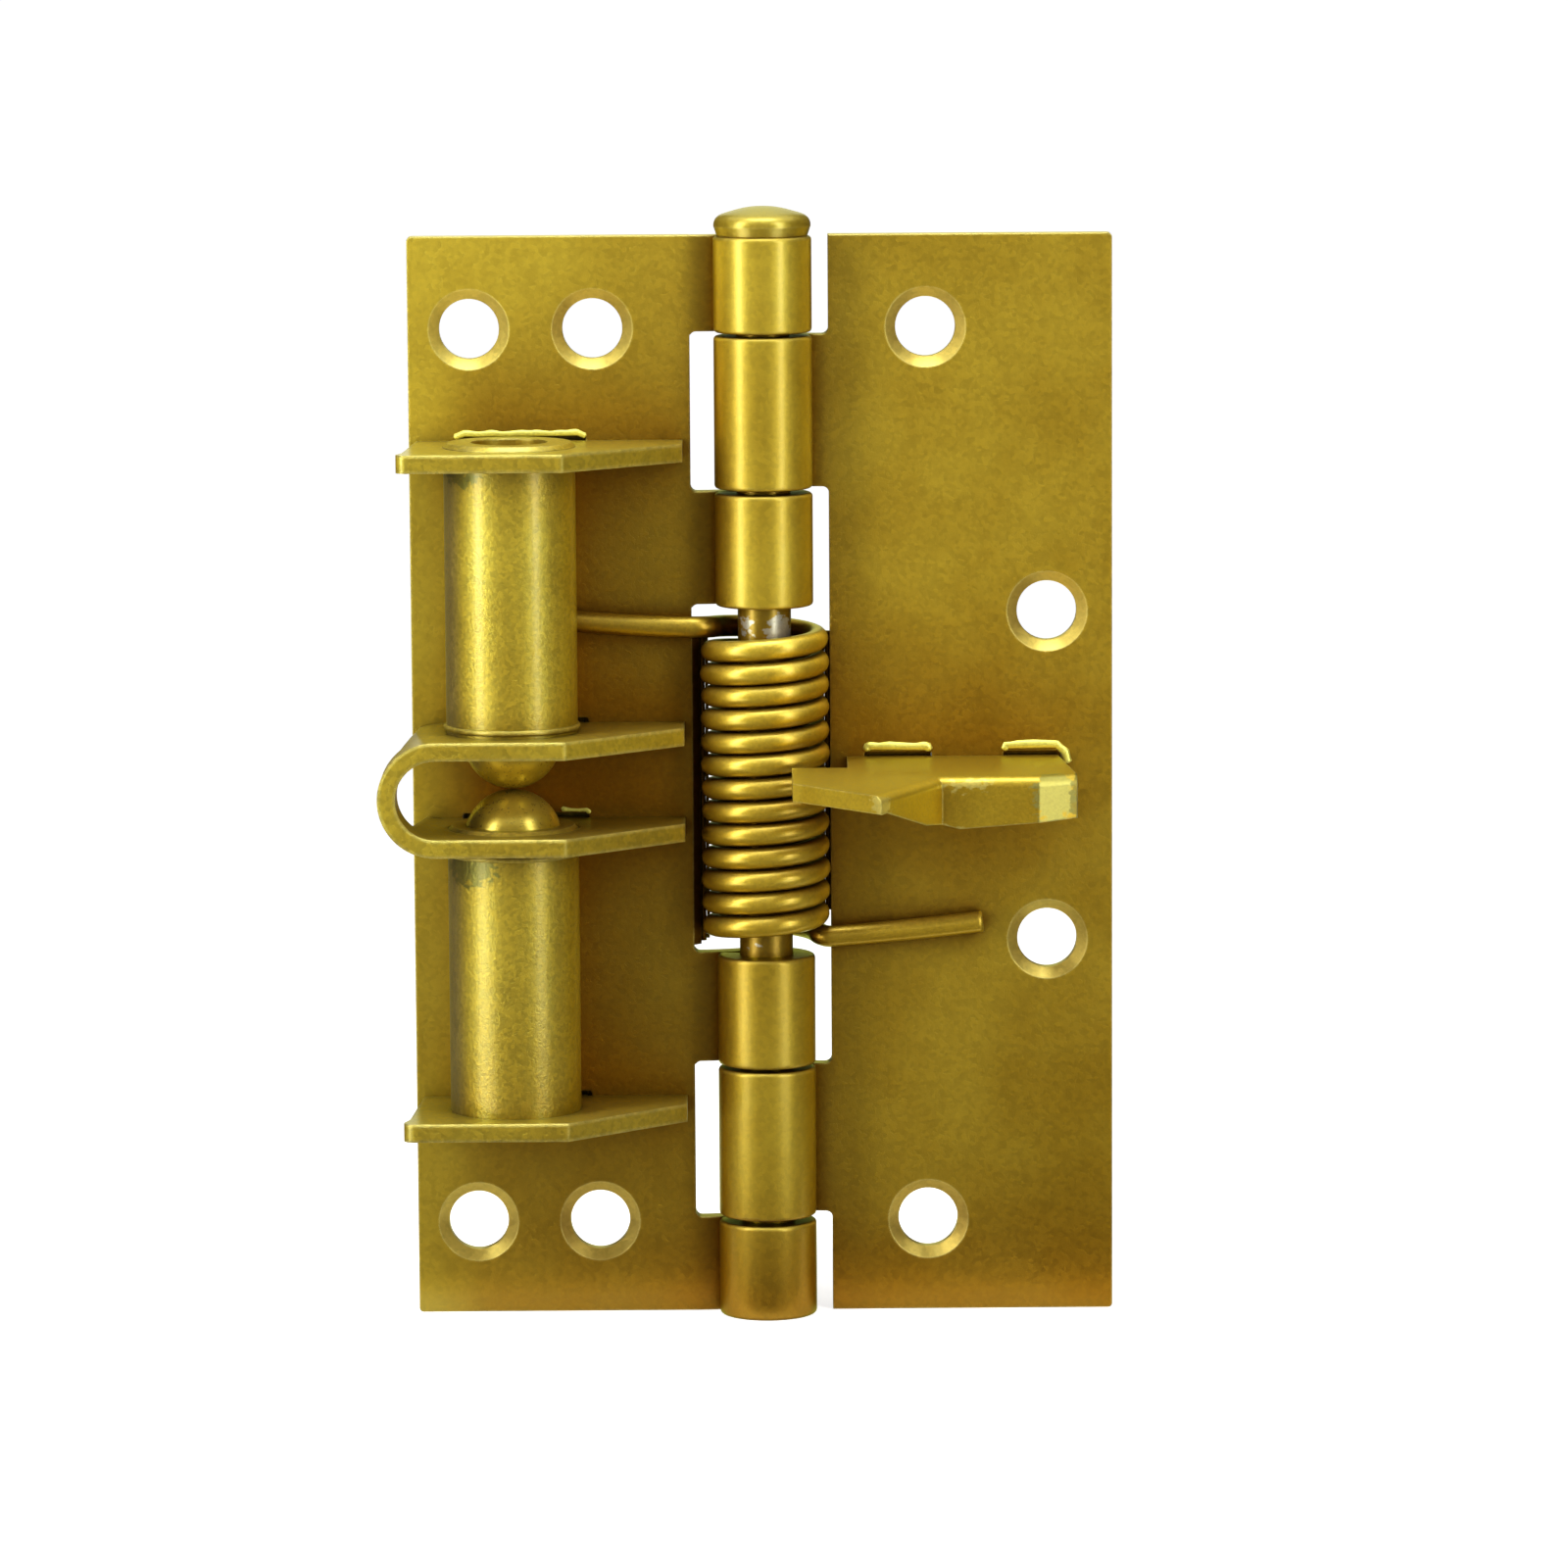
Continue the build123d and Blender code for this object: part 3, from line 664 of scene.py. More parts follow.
def build_coat_group():
    group, given = new_group(
        "coat_and_painted_light",
        [
            ("Cloud Size", FLOAT, 11.0),
            ("Thin", COLOUR, (0.3, 0.2, 0.02, 1)),
            ("Thick", COLOUR, (0.35, 0.25, 0.03, 1)),
            ("Upward", COLOUR, (0.7, 0.55, 0.15, 1)),
            ("Upward Cover", FLOAT, 0.7),
        ],
        [("Color", COLOUR), ("Cover", FLOAT)],
    )
    point = surface(group, "Object")
    scale = math_node(group, "DIVIDE", 1.0 / mm, given["Cloud Size"])
    cloud = add_node(group, "ShaderNodeTexNoise", in_Vector=point, in_Scale=scale,
                     in_Detail=4.0, in_Roughness=0.55)
    patch = spread(group, cloud.outputs["Fac"], *CLOUD_EDGES)
    towards_light = vector_math(group, "DOT_PRODUCT", point, PAINTED_LIGHT_FROM)
    lit_share = spread(group, towards_light, *PAINTED_LIGHT_FADE, smooth=False)
    patch_part = math_node(group, "MULTIPLY", patch, CLOUD_SHARE)
    light_part = math_node(group, "MULTIPLY", lit_share, 1 - CLOUD_SHARE)
    # the cover mixes the clouds with the painted light that fades from the upper left
    cover = math_node(group, "ADD", patch_part, light_part)
    colour = mix_colour(group, cover, given["Thin"], given["Thick"])
    # faces that look upward are painted paler: a painted highlight from the light above
    upward = spread(group, along_axis(group, surface(group, "Normal"), "Z"), 0.1, 1.0)
    upward = math_node(group, "MULTIPLY", upward, given["Upward Cover"])
    colour = mix_colour(group, upward, colour, given["Upward"])
    hand_out(group, Color=colour, Cover=cover)
    return group


coat_light_group = build_coat_group()
print("group", coat_light_group.name)

# %% [markdown]
# ### Rounded edges
#
# No sheared or turned edge is perfectly sharp, and a rounded one catches a line of light. The
# Bevel node bends the normals near an edge without touching the mesh. Where the bent normal
# leaves the true one is also where the paint wears thin, so the group gives a mask as well, with
# a noise that breaks the worn line into chips.

# %% Build the rounded edge group
BEVEL_SAMPLES = 3
CHIPS_PER_METRE = 900.0
CHIP_EDGES = (0.1, 0.5)


def build_edge_group():
    group, given = new_group(
        "rounded_edge",
        [("Radius", FLOAT, 0.25), ("Wear", FLOAT, 1.0)],
        [("Normal", VECTOR), ("Edge", FLOAT)],
    )
    radius = math_node(group, "MULTIPLY", given["Radius"], mm)
    bevel = add_node(group, "ShaderNodeBevel", samples=BEVEL_SAMPLES, in_Radius=radius)
    rounded = bevel.outputs["Normal"]
    true_normal = group.nodes.new("ShaderNodeNewGeometry").outputs["Normal"]
    agree = vector_math(group, "DOT_PRODUCT", rounded, true_normal)
    bent = math_node(group, "SUBTRACT", 1.0, agree)
    chips = add_node(group, "ShaderNodeTexNoise", in_Vector=surface(group, "Object"),
                     in_Scale=CHIPS_PER_METRE, in_Detail=2.0)
    bent = math_node(group, "MULTIPLY", bent, spread(group, chips.outputs["Fac"], *CHIP_EDGES))
    edge = math_node(group, "MULTIPLY", bent, given["Wear"], clamp=True)
    hand_out(group, Normal=rounded, Edge=edge)
    return group


edge_group = build_edge_group()
print("group", edge_group.name)

# %% [markdown]
# ### Painted shade in corners
#
# Where two parts meet, little light gets in, so the paint is darkened there as a painted shade.
# Ambient occlusion measures how enclosed a point is, and that turns into a mask. With a short
# reach it finds the joints between parts, and with a long one the broad shelter behind the tubes
# and the tongue.

# %% Build the painted corner shade group
CORNER_SAMPLES = 4


def build_corner_group():
    group, given = new_group(
        "painted_corner_shade", [("Reach", FLOAT, 2.5), ("Amount", FLOAT, 1.0)], [("Mask", FLOAT)]
    )
    reach = math_node(group, "MULTIPLY", given["Reach"], mm)
    enclosed = add_node(group, "ShaderNodeAmbientOcclusion", samples=CORNER_SAMPLES,
                        in_Distance=reach)
    hidden = math_node(group, "SUBTRACT", 1.0, enclosed.outputs["AO"])
    hand_out(group, Mask=math_node(group, "MULTIPLY", hidden, given["Amount"], clamp=True))
    return group


corner_shade_group = build_corner_group()
print("group", corner_shade_group.name)

# %% [markdown]
# ### Scuffs
#
# Where parts rub, the gold is scraped off in patches. A patch is a round region about a point,
# broken up by a scratchy noise: the nearer to the point, the more of the noise passes. The mask
# fades out towards the region's rim, so that no round outline shows.

# %% Build the scuff group
SCUFF_STRENGTH = 0.75
SCRATCHES_PER_METRE = 1500.0
SCRATCH_STRETCH = (0.8, 1.0, 1.2)
SCRATCH_SHIFT = (0.013, 0.004, 0.021)
SCRATCH_LEVELS = (0.72, 0.84)
RIM_FADE = (0.0, 0.25)


def build_scuff_group():
    group, given = new_group(
        "scuff",
        [
            ("Centre", VECTOR, (0, 0, 0)),
            ("Reach", VECTOR, (0.01, 0.01, 0.01)),
            ("Cover", FLOAT, 0.5),
        ],
        [("Mask", FLOAT)],
    )
    point = surface(group, "Object")
    offset = vector_math(group, "SUBTRACT", point, given["Centre"])
    share = vector_math(group, "DIVIDE", offset, given["Reach"])
    distance = vector_math(group, "LENGTH", share)
    near = math_node(group, "SUBTRACT", 1.0, distance, clamp=True)
    stretched = add_node(group, "ShaderNodeMapping", in_Vector=point,
                         in_Location=SCRATCH_SHIFT, in_Scale=SCRATCH_STRETCH)
    scratches = add_node(group, "ShaderNodeTexNoise", in_Vector=stretched.outputs["Vector"],
                         in_Scale=SCRATCHES_PER_METRE, in_Detail=4.0)
    wanted = math_node(group, "MULTIPLY", near, given["Cover"])
    level = math_node(group, "ADD", scratches.outputs["Fac"], wanted)
    mask = spread(group, level, *SCRATCH_LEVELS)
    mask = math_node(group, "MULTIPLY", mask, spread(group, near, *RIM_FADE))
    hand_out(group, Mask=math_node(group, "MULTIPLY", mask, SCUFF_STRENGTH))
    return group


scuff_group = build_scuff_group()
print("group", scuff_group.name)

# %% [markdown]
# ### The colours of the hinge
#
# One gold looks very different from place to place: full and yellow where the coat is thick and
# lit, orange-brown where it is thin and shaded, pale where it was rubbed. The lit top, the shadow
# and corner browns, the dark side of the tubes and the shade under the plates are painted shade
# and light, and the ridges' gold is a painted highlight. These are the shades that the effects
# choose from, as linear red, green and blue.

# %% Name the colours
# the full coat, and also the lit end of the painted light from the upper left
FULL_LIT_GOLD = (0.50, 0.335, 0.016)
# painted highlight on faces that look upward
TOP_LIT_GOLD = (0.82, 0.62, 0.09)
# the thin coat, and also the shaded end of the painted light from the upper left
THIN_SHADED_GOLD = (0.33, 0.160, 0.003)
# painted shade where parts meet
CORNER_SHADE_BROWN = (0.09, 0.045, 0.004)
# painted shade in the shelter of other parts
SHADOW_GOLD = (0.26, 0.080, 0.001)
# worn edges, and also the painted highlight on the countersinks' cones
WORN_AND_HIGHLIT_GOLD = (0.80, 0.66, 0.20)
SCRAPED_GOLD = (0.66, 0.52, 0.12)
RUBBED_GOLD = (0.33, 0.30, 0.08)
# darker gold at the end of the tongue's lip
DARKENED_GOLD = (0.10, 0.06, 0.01)
# painted highlight all over the ridges
RIDGE_HIGHLIGHT_GOLD = (0.95, 0.94, 0.20)
BARE_STEEL = (0.55, 0.54, 0.49)
# painted shade on the tubes' left sides
SHADED_SIDE_BROWN = (0.20, 0.125, 0.030)
# painted shade on the tubes under the top plate and the U's lower leg
UNDER_PLATE_SHADE = (0.06, 0.034, 0.006)


def rgba(colour, shade=1.0):
    return (*[channel * shade for channel in colour], 1.0)


print("full lit gold", rgba(FULL_LIT_GOLD))

# %% [markdown]
# ### How metallic the paint is
#
# Where the coat is thin, bare flakes lie on top and the paint acts as metal. Where it is full,
# most flakes lie in a coloured body under clear lacquer. So Metallic falls and Coat Weight rises
# with the cover, which also carries the painted light from the upper left. The sheltered places
# are found first: a long-reach ambient occlusion gives them a painted shade, and there the coat
# counts as thin. Left of the tubes the leaf keeps only a quarter of that painted shade.

# %% Thin and full coats
SHELTER_SHADE_REACH = 16.0
STRIP_SHADOW = 0.25
METAL_WHERE_THIN = 0.92
METAL_HIDDEN_BY_COAT = 0.65


def painted_shelter_shade(tree, shade_in_shelter, less_shaded_strip):
    """How much painted shade a point gets from its shelter, from 0 to 1."""
    sheltered = add_node(tree, "ShaderNodeGroup", node_tree=corner_shade_group,
                         in_Reach=SHELTER_SHADE_REACH, in_Amount=shade_in_shelter).outputs["Mask"]
    if less_shaded_strip is None:
        return sheltered
    edges = [from_pin(x, 0, 0).x for x in less_shaded_strip]
    kept = spread(tree, along_axis(tree, surface(tree, "Object"), "X"), *edges)
    kept = math_node(tree, "MULTIPLY", kept, 1 - STRIP_SHADOW)
    kept = math_node(tree, "ADD", kept, STRIP_SHADOW)
    return math_node(tree, "MULTIPLY", sheltered, kept)


def set_metal(tree, shader, shadow, cover, clear_coat):
    reached = math_node(tree, "SUBTRACT", 1.0, shadow)
    full_coat = math_node(tree, "MULTIPLY", reached, cover)
    hidden = math_node(tree, "MULTIPLY", full_coat, -METAL_HIDDEN_BY_COAT)
    plug(tree, shader.inputs["Metallic"], math_node(tree, "ADD", hidden, METAL_WHERE_THIN))
    plug(tree, shader.inputs["Coat Weight"], math_node(tree, "MULTIPLY", full_coat, clear_coat))


print("metallic from", round(METAL_WHERE_THIN - METAL_HIDDEN_BY_COAT, 2), "to", METAL_WHERE_THIN)

# %% [markdown]
# ### Marks that only some parts have
#
# The tubes' left sides are painted a dull brown, a painted shade on the side that turns away from
# the light. The cones of the countersinks are painted paler, a painted highlight. Both are found
# by the direction that the surface faces. The cones are the only slanted faces of a leaf apart
# from the barrel, so the barrel is left out by its distance from the pin. Scuffs are listed as
# (point, reach, cover, colour), in mm from the pin.

# %% Shaded sides, highlit cones and scuffs
SHADED_SIDE_FACING = (0.66, 0.90)
CONE_HIGHLIGHT = 0.35
CONE_NOT_FLAT = (0.95, 0.85)
CONE_NOT_UPRIGHT = (0.4, 0.6)
BARREL_CLEAR_OF_PIN = (6.5, 7.5)


def side_shade_mask(tree, side):
    facing = vector_math(tree, "DOT_PRODUCT", surface(tree, "Normal"), side)
    return spread(tree, facing, *SHADED_SIDE_FACING)


def countersink_mask(tree):
    """1 on the slanted faces of the countersinks: neither flat nor upright, off the barrel."""
    slant = along_axis(tree, surface(tree, "Normal"), "Y")
    slant = math_node(tree, "ABSOLUTE", slant)
    not_flat = spread(tree, slant, *CONE_NOT_FLAT)
    slanted = math_node(tree, "MULTIPLY", not_flat, spread(tree, slant, *CONE_NOT_UPRIGHT))
    x = along_axis(tree, surface(tree, "Object"), "X")
    from_barrel = math_node(tree, "ABSOLUTE", math_node(tree, "SUBTRACT", x, pin_x))
    clear = spread(tree, from_barrel, *(limit * mm for limit in BARREL_CLEAR_OF_PIN))
    return math_node(tree, "MULTIPLY", slanted, clear)


def scuffed(tree, colour, scuffs):
    for centre, reach, cover, bare in scuffs:
        scuff = add_node(tree, "ShaderNodeGroup", node_tree=scuff_group, in_Cover=cover,
                         in_Centre=from_pin(*centre), in_Reach=Vector(reach) * mm)
        colour = mix_colour(tree, scuff.outputs["Mask"], colour, rgba(bare))
    return colour


print("cones highlit by", CONE_HIGHLIGHT)

# %% [markdown]
# ### Grain over everything
#
# The flake's tone multiplies the finished colour. The same grain roughens the surface a little
# and lifts it in a bump, which breaks each highlight into specks as real flake paint does. The
# bump starts from the rounded normals, so edges stay soft.

# %% Lay the grain
GRAIN_ROUGHNESS = 0.12
GRAIN_RELIEF = 0.5


def lay_grain(tree, shader, colour, rounded, grain, contrast, bump, roughness):
    flake = add_node(tree, "ShaderNodeGroup", node_tree=flake_group,
                     in_Grain_Size=grain, in_Contrast=contrast)
    toned = add_node(tree, "ShaderNodeVectorMath", operation="SCALE",
                     in_Scale=flake.outputs["Tone"])
    plug(tree, toned.inputs[0], colour)
    plug(tree, shader.inputs["Base Color"], toned.outputs["Vector"])
    rough = math_node(tree, "MULTIPLY", flake.outputs["Height"], GRAIN_ROUGHNESS)
    rough = math_node(tree, "ADD", rough, roughness - GRAIN_ROUGHNESS / 2)
    plug(tree, shader.inputs["Roughness"], rough)
    relief = add_node(tree, "ShaderNodeBump", in_Strength=GRAIN_RELIEF, in_Distance=bump * mm,
                      in_Height=flake.outputs["Height"], in_Normal=rounded)
    plug(tree, shader.inputs["Normal"], relief.outputs["Normal"])


print("grain varies the roughness by", GRAIN_ROUGHNESS)

# %% [markdown]
# ### The gold paint
#
# One function joins the layers into a paint, from the coat up: coat with its painted light,
# painted shade in shelter, worn edges, painted shade in corners, marks and grain. A high IOR and
# a yellow-green specular tint stand for the glint of the flakes in the lacquer. They are the same
# all over, so they are set on the shader itself.

# %% Mix a paint from the layers
FLAKE_IOR = 2.7
FLAKE_GLINT = (0.76, 1.0, 0.20)
LACQUER_ROUGHNESS = 0.24


def gold_paint(
    name, shade=1.0, roughness=0.36, grain=0.22, contrast=0.3, bump=0.02, edge=0.25, wear=4.0,
    clear_coat=0.65, corner=0.8, shade_in_shelter=1.5, upward=0.7, scuffs=(), painted_dark_side=None,
    less_shaded_strip=None, highlit_cones=False,
):
    """A gold paint. Grain, bump and edge are sizes in mm, the rest are amounts. Shade lightens or
    darkens the whole gold, a painted light and shade for how brightly the part is lit.
    """
    material = bpy.data.materials.new(name)
    material.use_nodes = True
    tree = material.node_tree
    shader = tree.nodes["Principled BSDF"]
    shader.inputs["IOR"].default_value = FLAKE_IOR
    shader.inputs["Specular Tint"].default_value = rgba(FLAKE_GLINT)
    shader.inputs["Coat Roughness"].default_value = LACQUER_ROUGHNESS

    coat = add_node(tree, "ShaderNodeGroup", node_tree=coat_light_group, in_Upward_Cover=upward,
                    in_Thin=rgba(THIN_SHADED_GOLD, shade), in_Thick=rgba(FULL_LIT_GOLD, shade),
                    in_Upward=rgba(TOP_LIT_GOLD, shade))
    edges = add_node(tree, "ShaderNodeGroup", node_tree=edge_group, in_Radius=edge, in_Wear=wear)
    corners = add_node(tree, "ShaderNodeGroup", node_tree=corner_shade_group, in_Amount=corner)
    shadow = painted_shelter_shade(tree, shade_in_shelter, less_shaded_strip)
    set_metal(tree, shader, shadow, coat.outputs["Cover"], clear_coat)

    # painted shade in the shelter of other parts
    colour = mix_colour(tree, shadow, coat.outputs["Color"], rgba(SHADOW_GOLD))
    colour = mix_colour(tree, edges.outputs["Edge"], colour, rgba(WORN_AND_HIGHLIT_GOLD))
    # painted shade in the corners where parts meet
    colour = mix_colour(tree, corners.outputs["Mask"], colour, rgba(CORNER_SHADE_BROWN))
    # painted shade on the side that faces away from the light
    if painted_dark_side:
        colour = mix_colour(tree, side_shade_mask(tree, painted_dark_side), colour, rgba(SHADED_SIDE_BROWN))
    # a painted highlight on the countersinks' cones
    if highlit_cones:
        cone_light = math_node(tree, "MULTIPLY", countersink_mask(tree), CONE_HIGHLIGHT)
        colour = mix_colour(tree, cone_light, colour, rgba(WORN_AND_HIGHLIT_GOLD))
    colour = scuffed(tree, colour, scuffs)
    lay_grain(tree, shader, colour, edges.outputs["Normal"], grain, contrast, bump, roughness)
    return material


print("paint can be mixed")

# %% [markdown]
# ### Where the hinge is scuffed
#
# The tongue's lip is rubbed dull on its right facet and darker at its end, and the pin shows bare
# steel where the coil's ends chafe it. A painted shade darkens the tubes under the top plate and
# under the U's lower leg. The ridges carry a painted highlight all over, so their one mark is
# larger than the hinge. Each mark was placed one by one, because a noise can't know what rubs
# where.

# %% List the scuffs
tongue_scuffs = [
    ((18.0, -15.0, 51.4), (5.5, 3.0, 1.6), 0.42, SCRAPED_GOLD),
    ((10.6, -26.4, 51.0), (2.2, 2.6, 1.7), 0.8, SCRAPED_GOLD),
    ((26.0, -13.6, 50.0), (2.8, 3.0, 4.0), 0.9, RUBBED_GOLD),
    ((28.6, -12.9, 49.6), (1.6, 3.0, 3.8), 1.0, DARKENED_GOLD),
    ((16.0, -15.0, 47.2), (3.5, 2.6, 0.7), 0.6, SCRAPED_GOLD),
]
pin_scuffs = [
    ((1.6, -2.0, 64.0), (2.6, 2.6, 2.2), 0.62, BARE_STEEL),
    ((-1.8, -1.8, 64.4), (2.0, 2.4, 2.0), 0.42, BARE_STEEL),
    ((-1.0, -2.2, 34.8), (1.4, 1.8, 1.0), 0.3, BARE_STEEL),
]
# painted shade on the tubes under the plates
tube_shades = [
    ((-27.5, -9.0, 79.5), (4.0, 5.0, 2.6), 0.6, UNDER_PLATE_SHADE),
    ((-27.0, -9.5, 43.5), (4.5, 5.0, 2.8), 0.75, UNDER_PLATE_SHADE),
]
# a painted highlight over the whole of each ridge
ridge_highlight_all_over = [((0.0, 0.0, 60.0), (100.0, 100.0, 100.0), 1.0, RIDGE_HIGHLIGHT_GOLD)]
print("scuffs", len(tongue_scuffs) + len(pin_scuffs) + len(tube_shades) + len(ridge_highlight_all_over))

# %% [markdown]
# ### One paint for each kind of part
#
# All parts were sprayed together, so their paints are one function with small differences. The
# tubes took the roughest coat and the balls are polished by the catch. The bracket's cut edges
# are the roundest, which makes the worn line along them broad. The tongue was rubbed, so its
# lacquer is thinner. Each part's shade lightens or darkens its whole gold, a painted light and
# shade for how brightly it is lit. The names on the left are the finishes that the record gives
# the parts.

# %% Mix the paints
LEFT_OF_TUBES = (-32.25, -24.25)  # x from the pin: where the leaf keeps a quarter of the painted shade, and where it keeps all
LEFT = (-1.0, 0.0, 0.0)

paints = {
    "leaf_finish": gold_paint(
        "leaf_paint", grain=0.36, contrast=0.35, roughness=0.4, bump=0.03, clear_coat=0.5,
        less_shaded_strip=LEFT_OF_TUBES, highlit_cones=True,
    ),
    "pin_finish": gold_paint(
        "pin_paint", shade=0.8, contrast=0.35, corner=0.5, shade_in_shelter=0.8, upward=0.4,
        scuffs=pin_scuffs,
    ),
    "coil_finish": gold_paint(
        "coil_paint", shade=1.2, contrast=0.4, bump=0.03, edge=0.1, corner=0.6, shade_in_shelter=1.1,
    ),
    "bracket_finish": gold_paint(
        "bracket_paint", shade=0.85, grain=0.35, contrast=0.7, bump=0.08, edge=0.55, wear=3.0,
        shade_in_shelter=0.7,
    ),
    "tube_finish": gold_paint(
        "tube_paint", shade=0.85, grain=0.32, contrast=0.8, bump=0.22, roughness=0.385,
        shade_in_shelter=0.6, painted_dark_side=LEFT, scuffs=tube_shades,
    ),
    "ball_finish": gold_paint(
        "ball_paint", contrast=0.2, roughness=0.3, bump=0.006, shade_in_shelter=0.3, corner=0.3,
    ),
    "tongue_finish": gold_paint(
        "tongue_paint", shade=1.12, contrast=0.4, clear_coat=0.4, upward=0.35, corner=0.4,
        shade_in_shelter=0.9, scuffs=tongue_scuffs,
    ),
    "catch_spring_wire": gold_paint("catch_wire_paint", roughness=0.3, edge=0.1),
    "plug_steel": gold_paint("plug_paint", roughness=0.4),
}
# the ridges' paint is a painted highlight: paler, brighter gold all over
ridge_highlight_paint = gold_paint(
    "ridge_highlight_paint", shade=1.9, contrast=0.4, corner=0.1, shade_in_shelter=0.0, upward=0.0, wear=8.0,
    scuffs=ridge_highlight_all_over,
)
print(len(paints) + 1, "paints")

# %% [markdown]
# The record names a finish for every imported part, and the pieces wound and raised above carry
# the same names, so one loop paints them all. Only the ridges, painted paler than the leaf that
# they rise from as a painted highlight, have a paint of their own.

# %% Paint every part
for part in frame["record"]["subparts"]:
    for slot in nodes[part["node"]].material_slots:
        slot.material = paints[part["material_slot"]]
for piece in bpy.data.objects:
    if piece.type == "MESH" and "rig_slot" in piece:
        paint = ridge_highlight_paint if piece in ridges else paints[piece["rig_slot"]]
        piece.data.materials.append(paint)

# %% [markdown]
# ## Floor, backdrop and light
#
# The hinge stands on a plain white ground. A wide floor catches its shadow, and the world is
# white wherever it is seen or mirrored, but gives little light. Metal shows what stands round
# it, so the studio is built like a product photographer's: dark cloth for contrast and soft
# boxes for the highlights.


# %% Helpers for the studio
HINGE_MIDDLE = (cad_box[0] + cad_box[1]) / 2


def around(angle, distance, height):
    """A point round the hinge: angle 0 is towards the camera, positive to the right."""
    turn = math.radians(angle)
    offset = Vector((math.sin(turn) * distance, -math.cos(turn) * distance, height))
    return HINGE_MIDDLE + offset


def looking_at(centre, target):
    """A placement at one point whose back axis points away from the target."""
    direction = (Vector(centre) - Vector(target)).normalized()
    return Matrix.Translation(centre) @ direction.to_track_quat("Z", "Y").to_matrix().to_4x4()


def show(tree, where_seen, elsewhere, output):
    """One shader for rays from the camera, off metal or through glass, and one for the rest."""
    path = tree.nodes.new("ShaderNodeLightPath").outputs
    seen = math_node(tree, "MAXIMUM", path["Is Camera Ray"], path["Is Glossy Ray"])
    seen = math_node(tree, "MAXIMUM", seen, path["Is Transmission Ray"])
    choice = tree.nodes.new("ShaderNodeMixShader")
    tree.links.new(seen, choice.inputs[0])
    tree.links.new(elsewhere, choice.inputs[1])
    tree.links.new(where_seen, choice.inputs[2])
    tree.links.new(choice.outputs[0], tree.nodes.new(output).inputs["Surface"])


print("hinge's middle", [round(v / mm, 1) for v in HINGE_MIDDLE])

# %% [markdown]
# The floor has two looks in one material. To light that bounces round the scene it is plain
# white paint, so it gives the hinge no light of its own. To the camera and in reflections it
# also glows, a little less near the hinge, where the shadow should read, and fully far off, so
# that no horizon shows. Stronger lamps would whiten the floor too, but bleach the gold.

# %% Lay the floor
FLOOR_RADIUS = 8.0
FLOOR_SIDES = 96
FLOOR_WHITE = (0.8, 0.8, 0.79, 1)
GLOW_NEAR = 0.8
GLOW_FADE = (0.1, 0.9)


def white_floor_paint():
    material = bpy.data.materials.new("floor_white")
    material.use_nodes = True
    tree = material.node_tree
    tree.nodes.clear()
    lit = add_node(tree, "ShaderNodeBsdfDiffuse", in_Color=FLOOR_WHITE).outputs[0]
    far = spread(tree, vector_math(tree, "LENGTH", surface(tree, "Object")), *GLOW_FADE)
    strength = math_node(tree, "MULTIPLY", far, 1.0 - GLOW_NEAR)
    strength = math_node(tree, "ADD", strength, GLOW_NEAR)
    glow = add_node(tree, "ShaderNodeEmission", in_Strength=strength).outputs[0]
    seen_floor = tree.nodes.new("ShaderNodeAddShader")
    tree.links.new(lit, seen_floor.inputs[0])
    tree.links.new(glow, seen_floor.inputs[1])
    show(tree, seen_floor.outputs[0], lit, "ShaderNodeOutputMaterial")
    return material


def add_floor():
    shape = bmesh.new()
    bmesh.ops.create_circle(shape, cap_ends=True, segments=FLOOR_SIDES, radius=FLOOR_RADIUS)
    floor = mesh_object("floor", shape)
    floor.data.materials.append(white_floor_paint())
    floor.location.z = cad_box[0].z


add_floor()
print("floor", 2 * FLOOR_RADIUS, "m across")

# %% [markdown]
# The world works the same way: full white to the camera and in the metal, and a faint warm level
# for everything else. White light from all sides would wash the shape out of the parts.

# %% Light the world
WORLD_LEVEL = 0.05
WARM_WHITE = (1.0, 0.98, 0.95, 1)
PURE_WHITE = (1.0, 1.0, 1.0, 1)


def light_world():
    world = bpy.data.worlds.new("studio")
    world.use_nodes = True
    bpy.context.scene.world = world
    tree = world.node_tree
    tree.nodes.clear()
    plain = add_node(tree, "ShaderNodeBackground", in_Color=WARM_WHITE, in_Strength=WORLD_LEVEL)
    white = add_node(tree, "ShaderNodeBackground", in_Color=PURE_WHITE, in_Strength=1.0)
    show(tree, white.outputs[0], plain.outputs[0], "ShaderNodeOutputWorld")


light_world()
print("world level", WORLD_LEVEL)

# %% [markdown]
# ### Dark cloth
#
# Against white alone, polished metal looks flat. Dark cloth gives it something to mirror: a
# curved wall behind the camera and the soft boxes makes the dim band between the highlights of a
# tube, two more walls beside the hinge darken the sides of the round parts, and cloth on the
# table darkens what faces down. Only the metal sees it: the cloth casts no shadow and is hidden
# from the camera.


# %% Cloth that only the metal sees
def dark_cloth():
    material = bpy.data.materials.new("dark_cloth")
    material.use_nodes = True
    shader = material.node_tree.nodes["Principled BSDF"]
    shader.inputs["Base Color"].default_value = (0.10, 0.09, 0.08, 1)
    shader.inputs["Roughness"].default_value = 0.95
    return material


cloth = dark_cloth()


def hang_cloth(name, shape):
    """An object of dark cloth that the metal mirrors, but that is not seen and shades nothing."""
    thing = mesh_object(name, shape)
    thing.data.materials.append(cloth)
    thing.visible_camera = False
    thing.visible_diffuse = False
    thing.visible_shadow = False


print("cloth", cloth.name)

# %% [markdown]
# The walls are strips of faces that curve round the hinge, and each cloth on the table is a
# single face just above the floor. The wall behind the camera spans 84 degrees to each side. One
# strip of the table behind the hinge stays white, and the metal mirrors it as a bright ground.

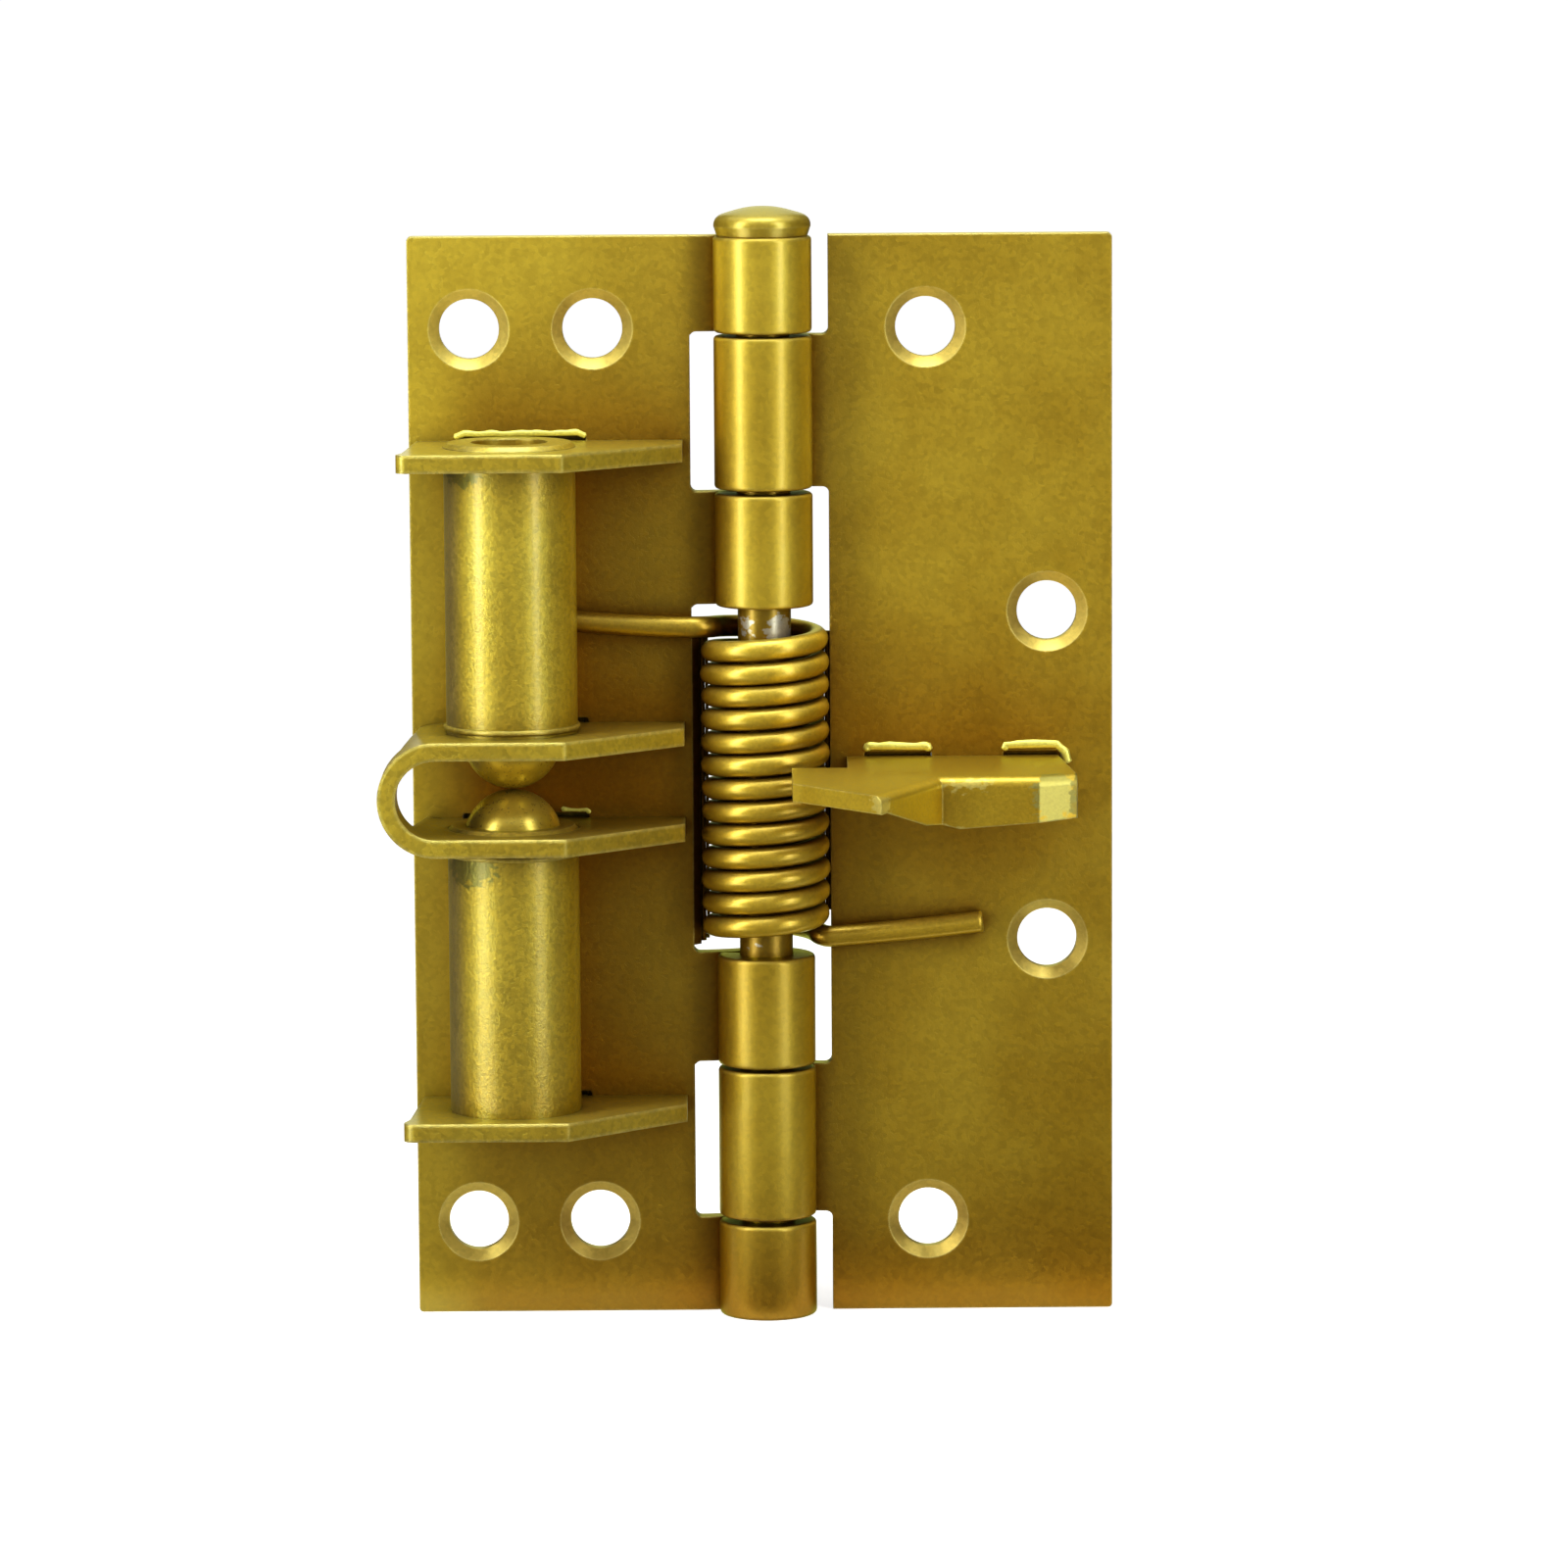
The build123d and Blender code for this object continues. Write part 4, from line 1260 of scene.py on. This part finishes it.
# %% Hang the dark cloth
ROOM_RADIUS = 0.95
SIDE_RADIUS = 0.6
WALL_STEPS = 24
CLOTH_ABOVE_FLOOR = 0.5 * mm


def curved_wall(name, angles, distance, heights):
    """A wall that curves round the hinge between two angles."""
    shape = bmesh.new()
    columns = []
    for angle in between(angles, WALL_STEPS):
        columns.append([shape.verts.new(around(angle, distance, height)) for height in heights])
    for near, far in zip(columns, columns[1:]):
        shape.faces.new((near[0], far[0], far[1], near[1]))
    hang_cloth(name, shape)


def table_cloth(name, left, right, near, far):
    """Dark cloth on the table, between four edges in metres."""
    shape = bmesh.new()
    level = cad_box[0].z + CLOTH_ABOVE_FLOOR
    corners = [(left, near), (right, near), (right, far), (left, far)]
    shape.faces.new([shape.verts.new((x, y, level)) for x, y in corners])
    hang_cloth(name, shape)


curved_wall("room_behind_camera", (-84, 84), ROOM_RADIUS, heights=(-0.05, 0.75))
curved_wall("cloth_left", (-170, -80), SIDE_RADIUS, heights=(-0.05, 0.6))
curved_wall("cloth_right", (80, 170), SIDE_RADIUS, heights=(-0.05, 0.6))
table_cloth("table_cloth_front", left=-0.9, right=0.9, near=-0.95, far=-0.009)
table_cloth("table_cloth_left", left=-0.6, right=-0.03, near=-0.009, far=0.5)
table_cloth("table_cloth_right", left=0.075, right=0.6, near=-0.009, far=0.5)
print("dark cloth hung at", ROOM_RADIUS, "and", SIDE_RADIUS, "m")

# %% [markdown]
# ### Soft boxes
#
# Two tall narrow boxes, left and right, give every tube and knuckle its two upright highlights
# with a darker band between them. A narrow box on the table under each continues the highlight
# down to the foot of the hinge. A box overhead lights the tops of the plates, and a large weak
# one above the camera fills the flat leaves.

# %% Helpers for soft boxes
BOX_ABOVE_FLOOR = 2 * mm


def soft_box(name, centre, width, height, power):
    light = bpy.data.lights.new(name, "AREA")
    light.shape = "RECTANGLE"
    light.size, light.size_y = width, height
    light.energy = power
    lamp = add_object(name, light)
    lamp.matrix_world = looking_at(centre, HINGE_MIDDLE)
    lamp.visible_camera = False
    return lamp


def table_box(name, angle, near, far, width, power):
    """A soft box that lies on the table and points away from the hinge, with its light up."""
    lamp = soft_box(name, around(angle, (near + far) / 2, 0), width, far - near, power)
    middle = lamp.matrix_world.translation.copy()
    middle.z = cad_box[0].z + BOX_ABOVE_FLOOR
    along = Matrix.Rotation(math.radians(angle), 4, "Z")
    lamp.matrix_world = Matrix.Translation(middle) @ along @ Matrix.Rotation(math.pi, 4, "X")
    return lamp


print("soft boxes ready")

# %% [markdown]
# The left pair is the stronger one, as the left highlights are the brighter. The powers, in
# watts, are small because all the boxes but the front one stand within half a metre.

# %% Stand the soft boxes
LEFT_ANGLE, RIGHT_ANGLE = -58, 45
LEFT_WIDTH, RIGHT_WIDTH = 0.07, 0.055
BOX_DISTANCE, BOX_MIDDLE, BOX_HEIGHT = 0.3, 0.12, 0.34
TABLE_NEAR = 0.1

left_place = around(LEFT_ANGLE, BOX_DISTANCE, BOX_MIDDLE)
right_place = around(RIGHT_ANGLE, BOX_DISTANCE, BOX_MIDDLE)
lamps = [
    soft_box("left_box", left_place, LEFT_WIDTH, BOX_HEIGHT, power=0.95),
    soft_box("right_box", right_place, RIGHT_WIDTH, BOX_HEIGHT, power=0.60),
    table_box("left_table_box", LEFT_ANGLE, TABLE_NEAR, BOX_DISTANCE, LEFT_WIDTH, power=0.25),
    table_box("right_table_box", RIGHT_ANGLE, TABLE_NEAR, BOX_DISTANCE, RIGHT_WIDTH, power=0.13),
    soft_box("overhead_box", around(0, 0.05, 0.42), width=0.3, height=0.16, power=1.1),
    soft_box("front_box", around(-4, 0.86, 0.24), width=0.7, height=0.44, power=0.45),
]
print("lamps", [lamp.name for lamp in lamps])
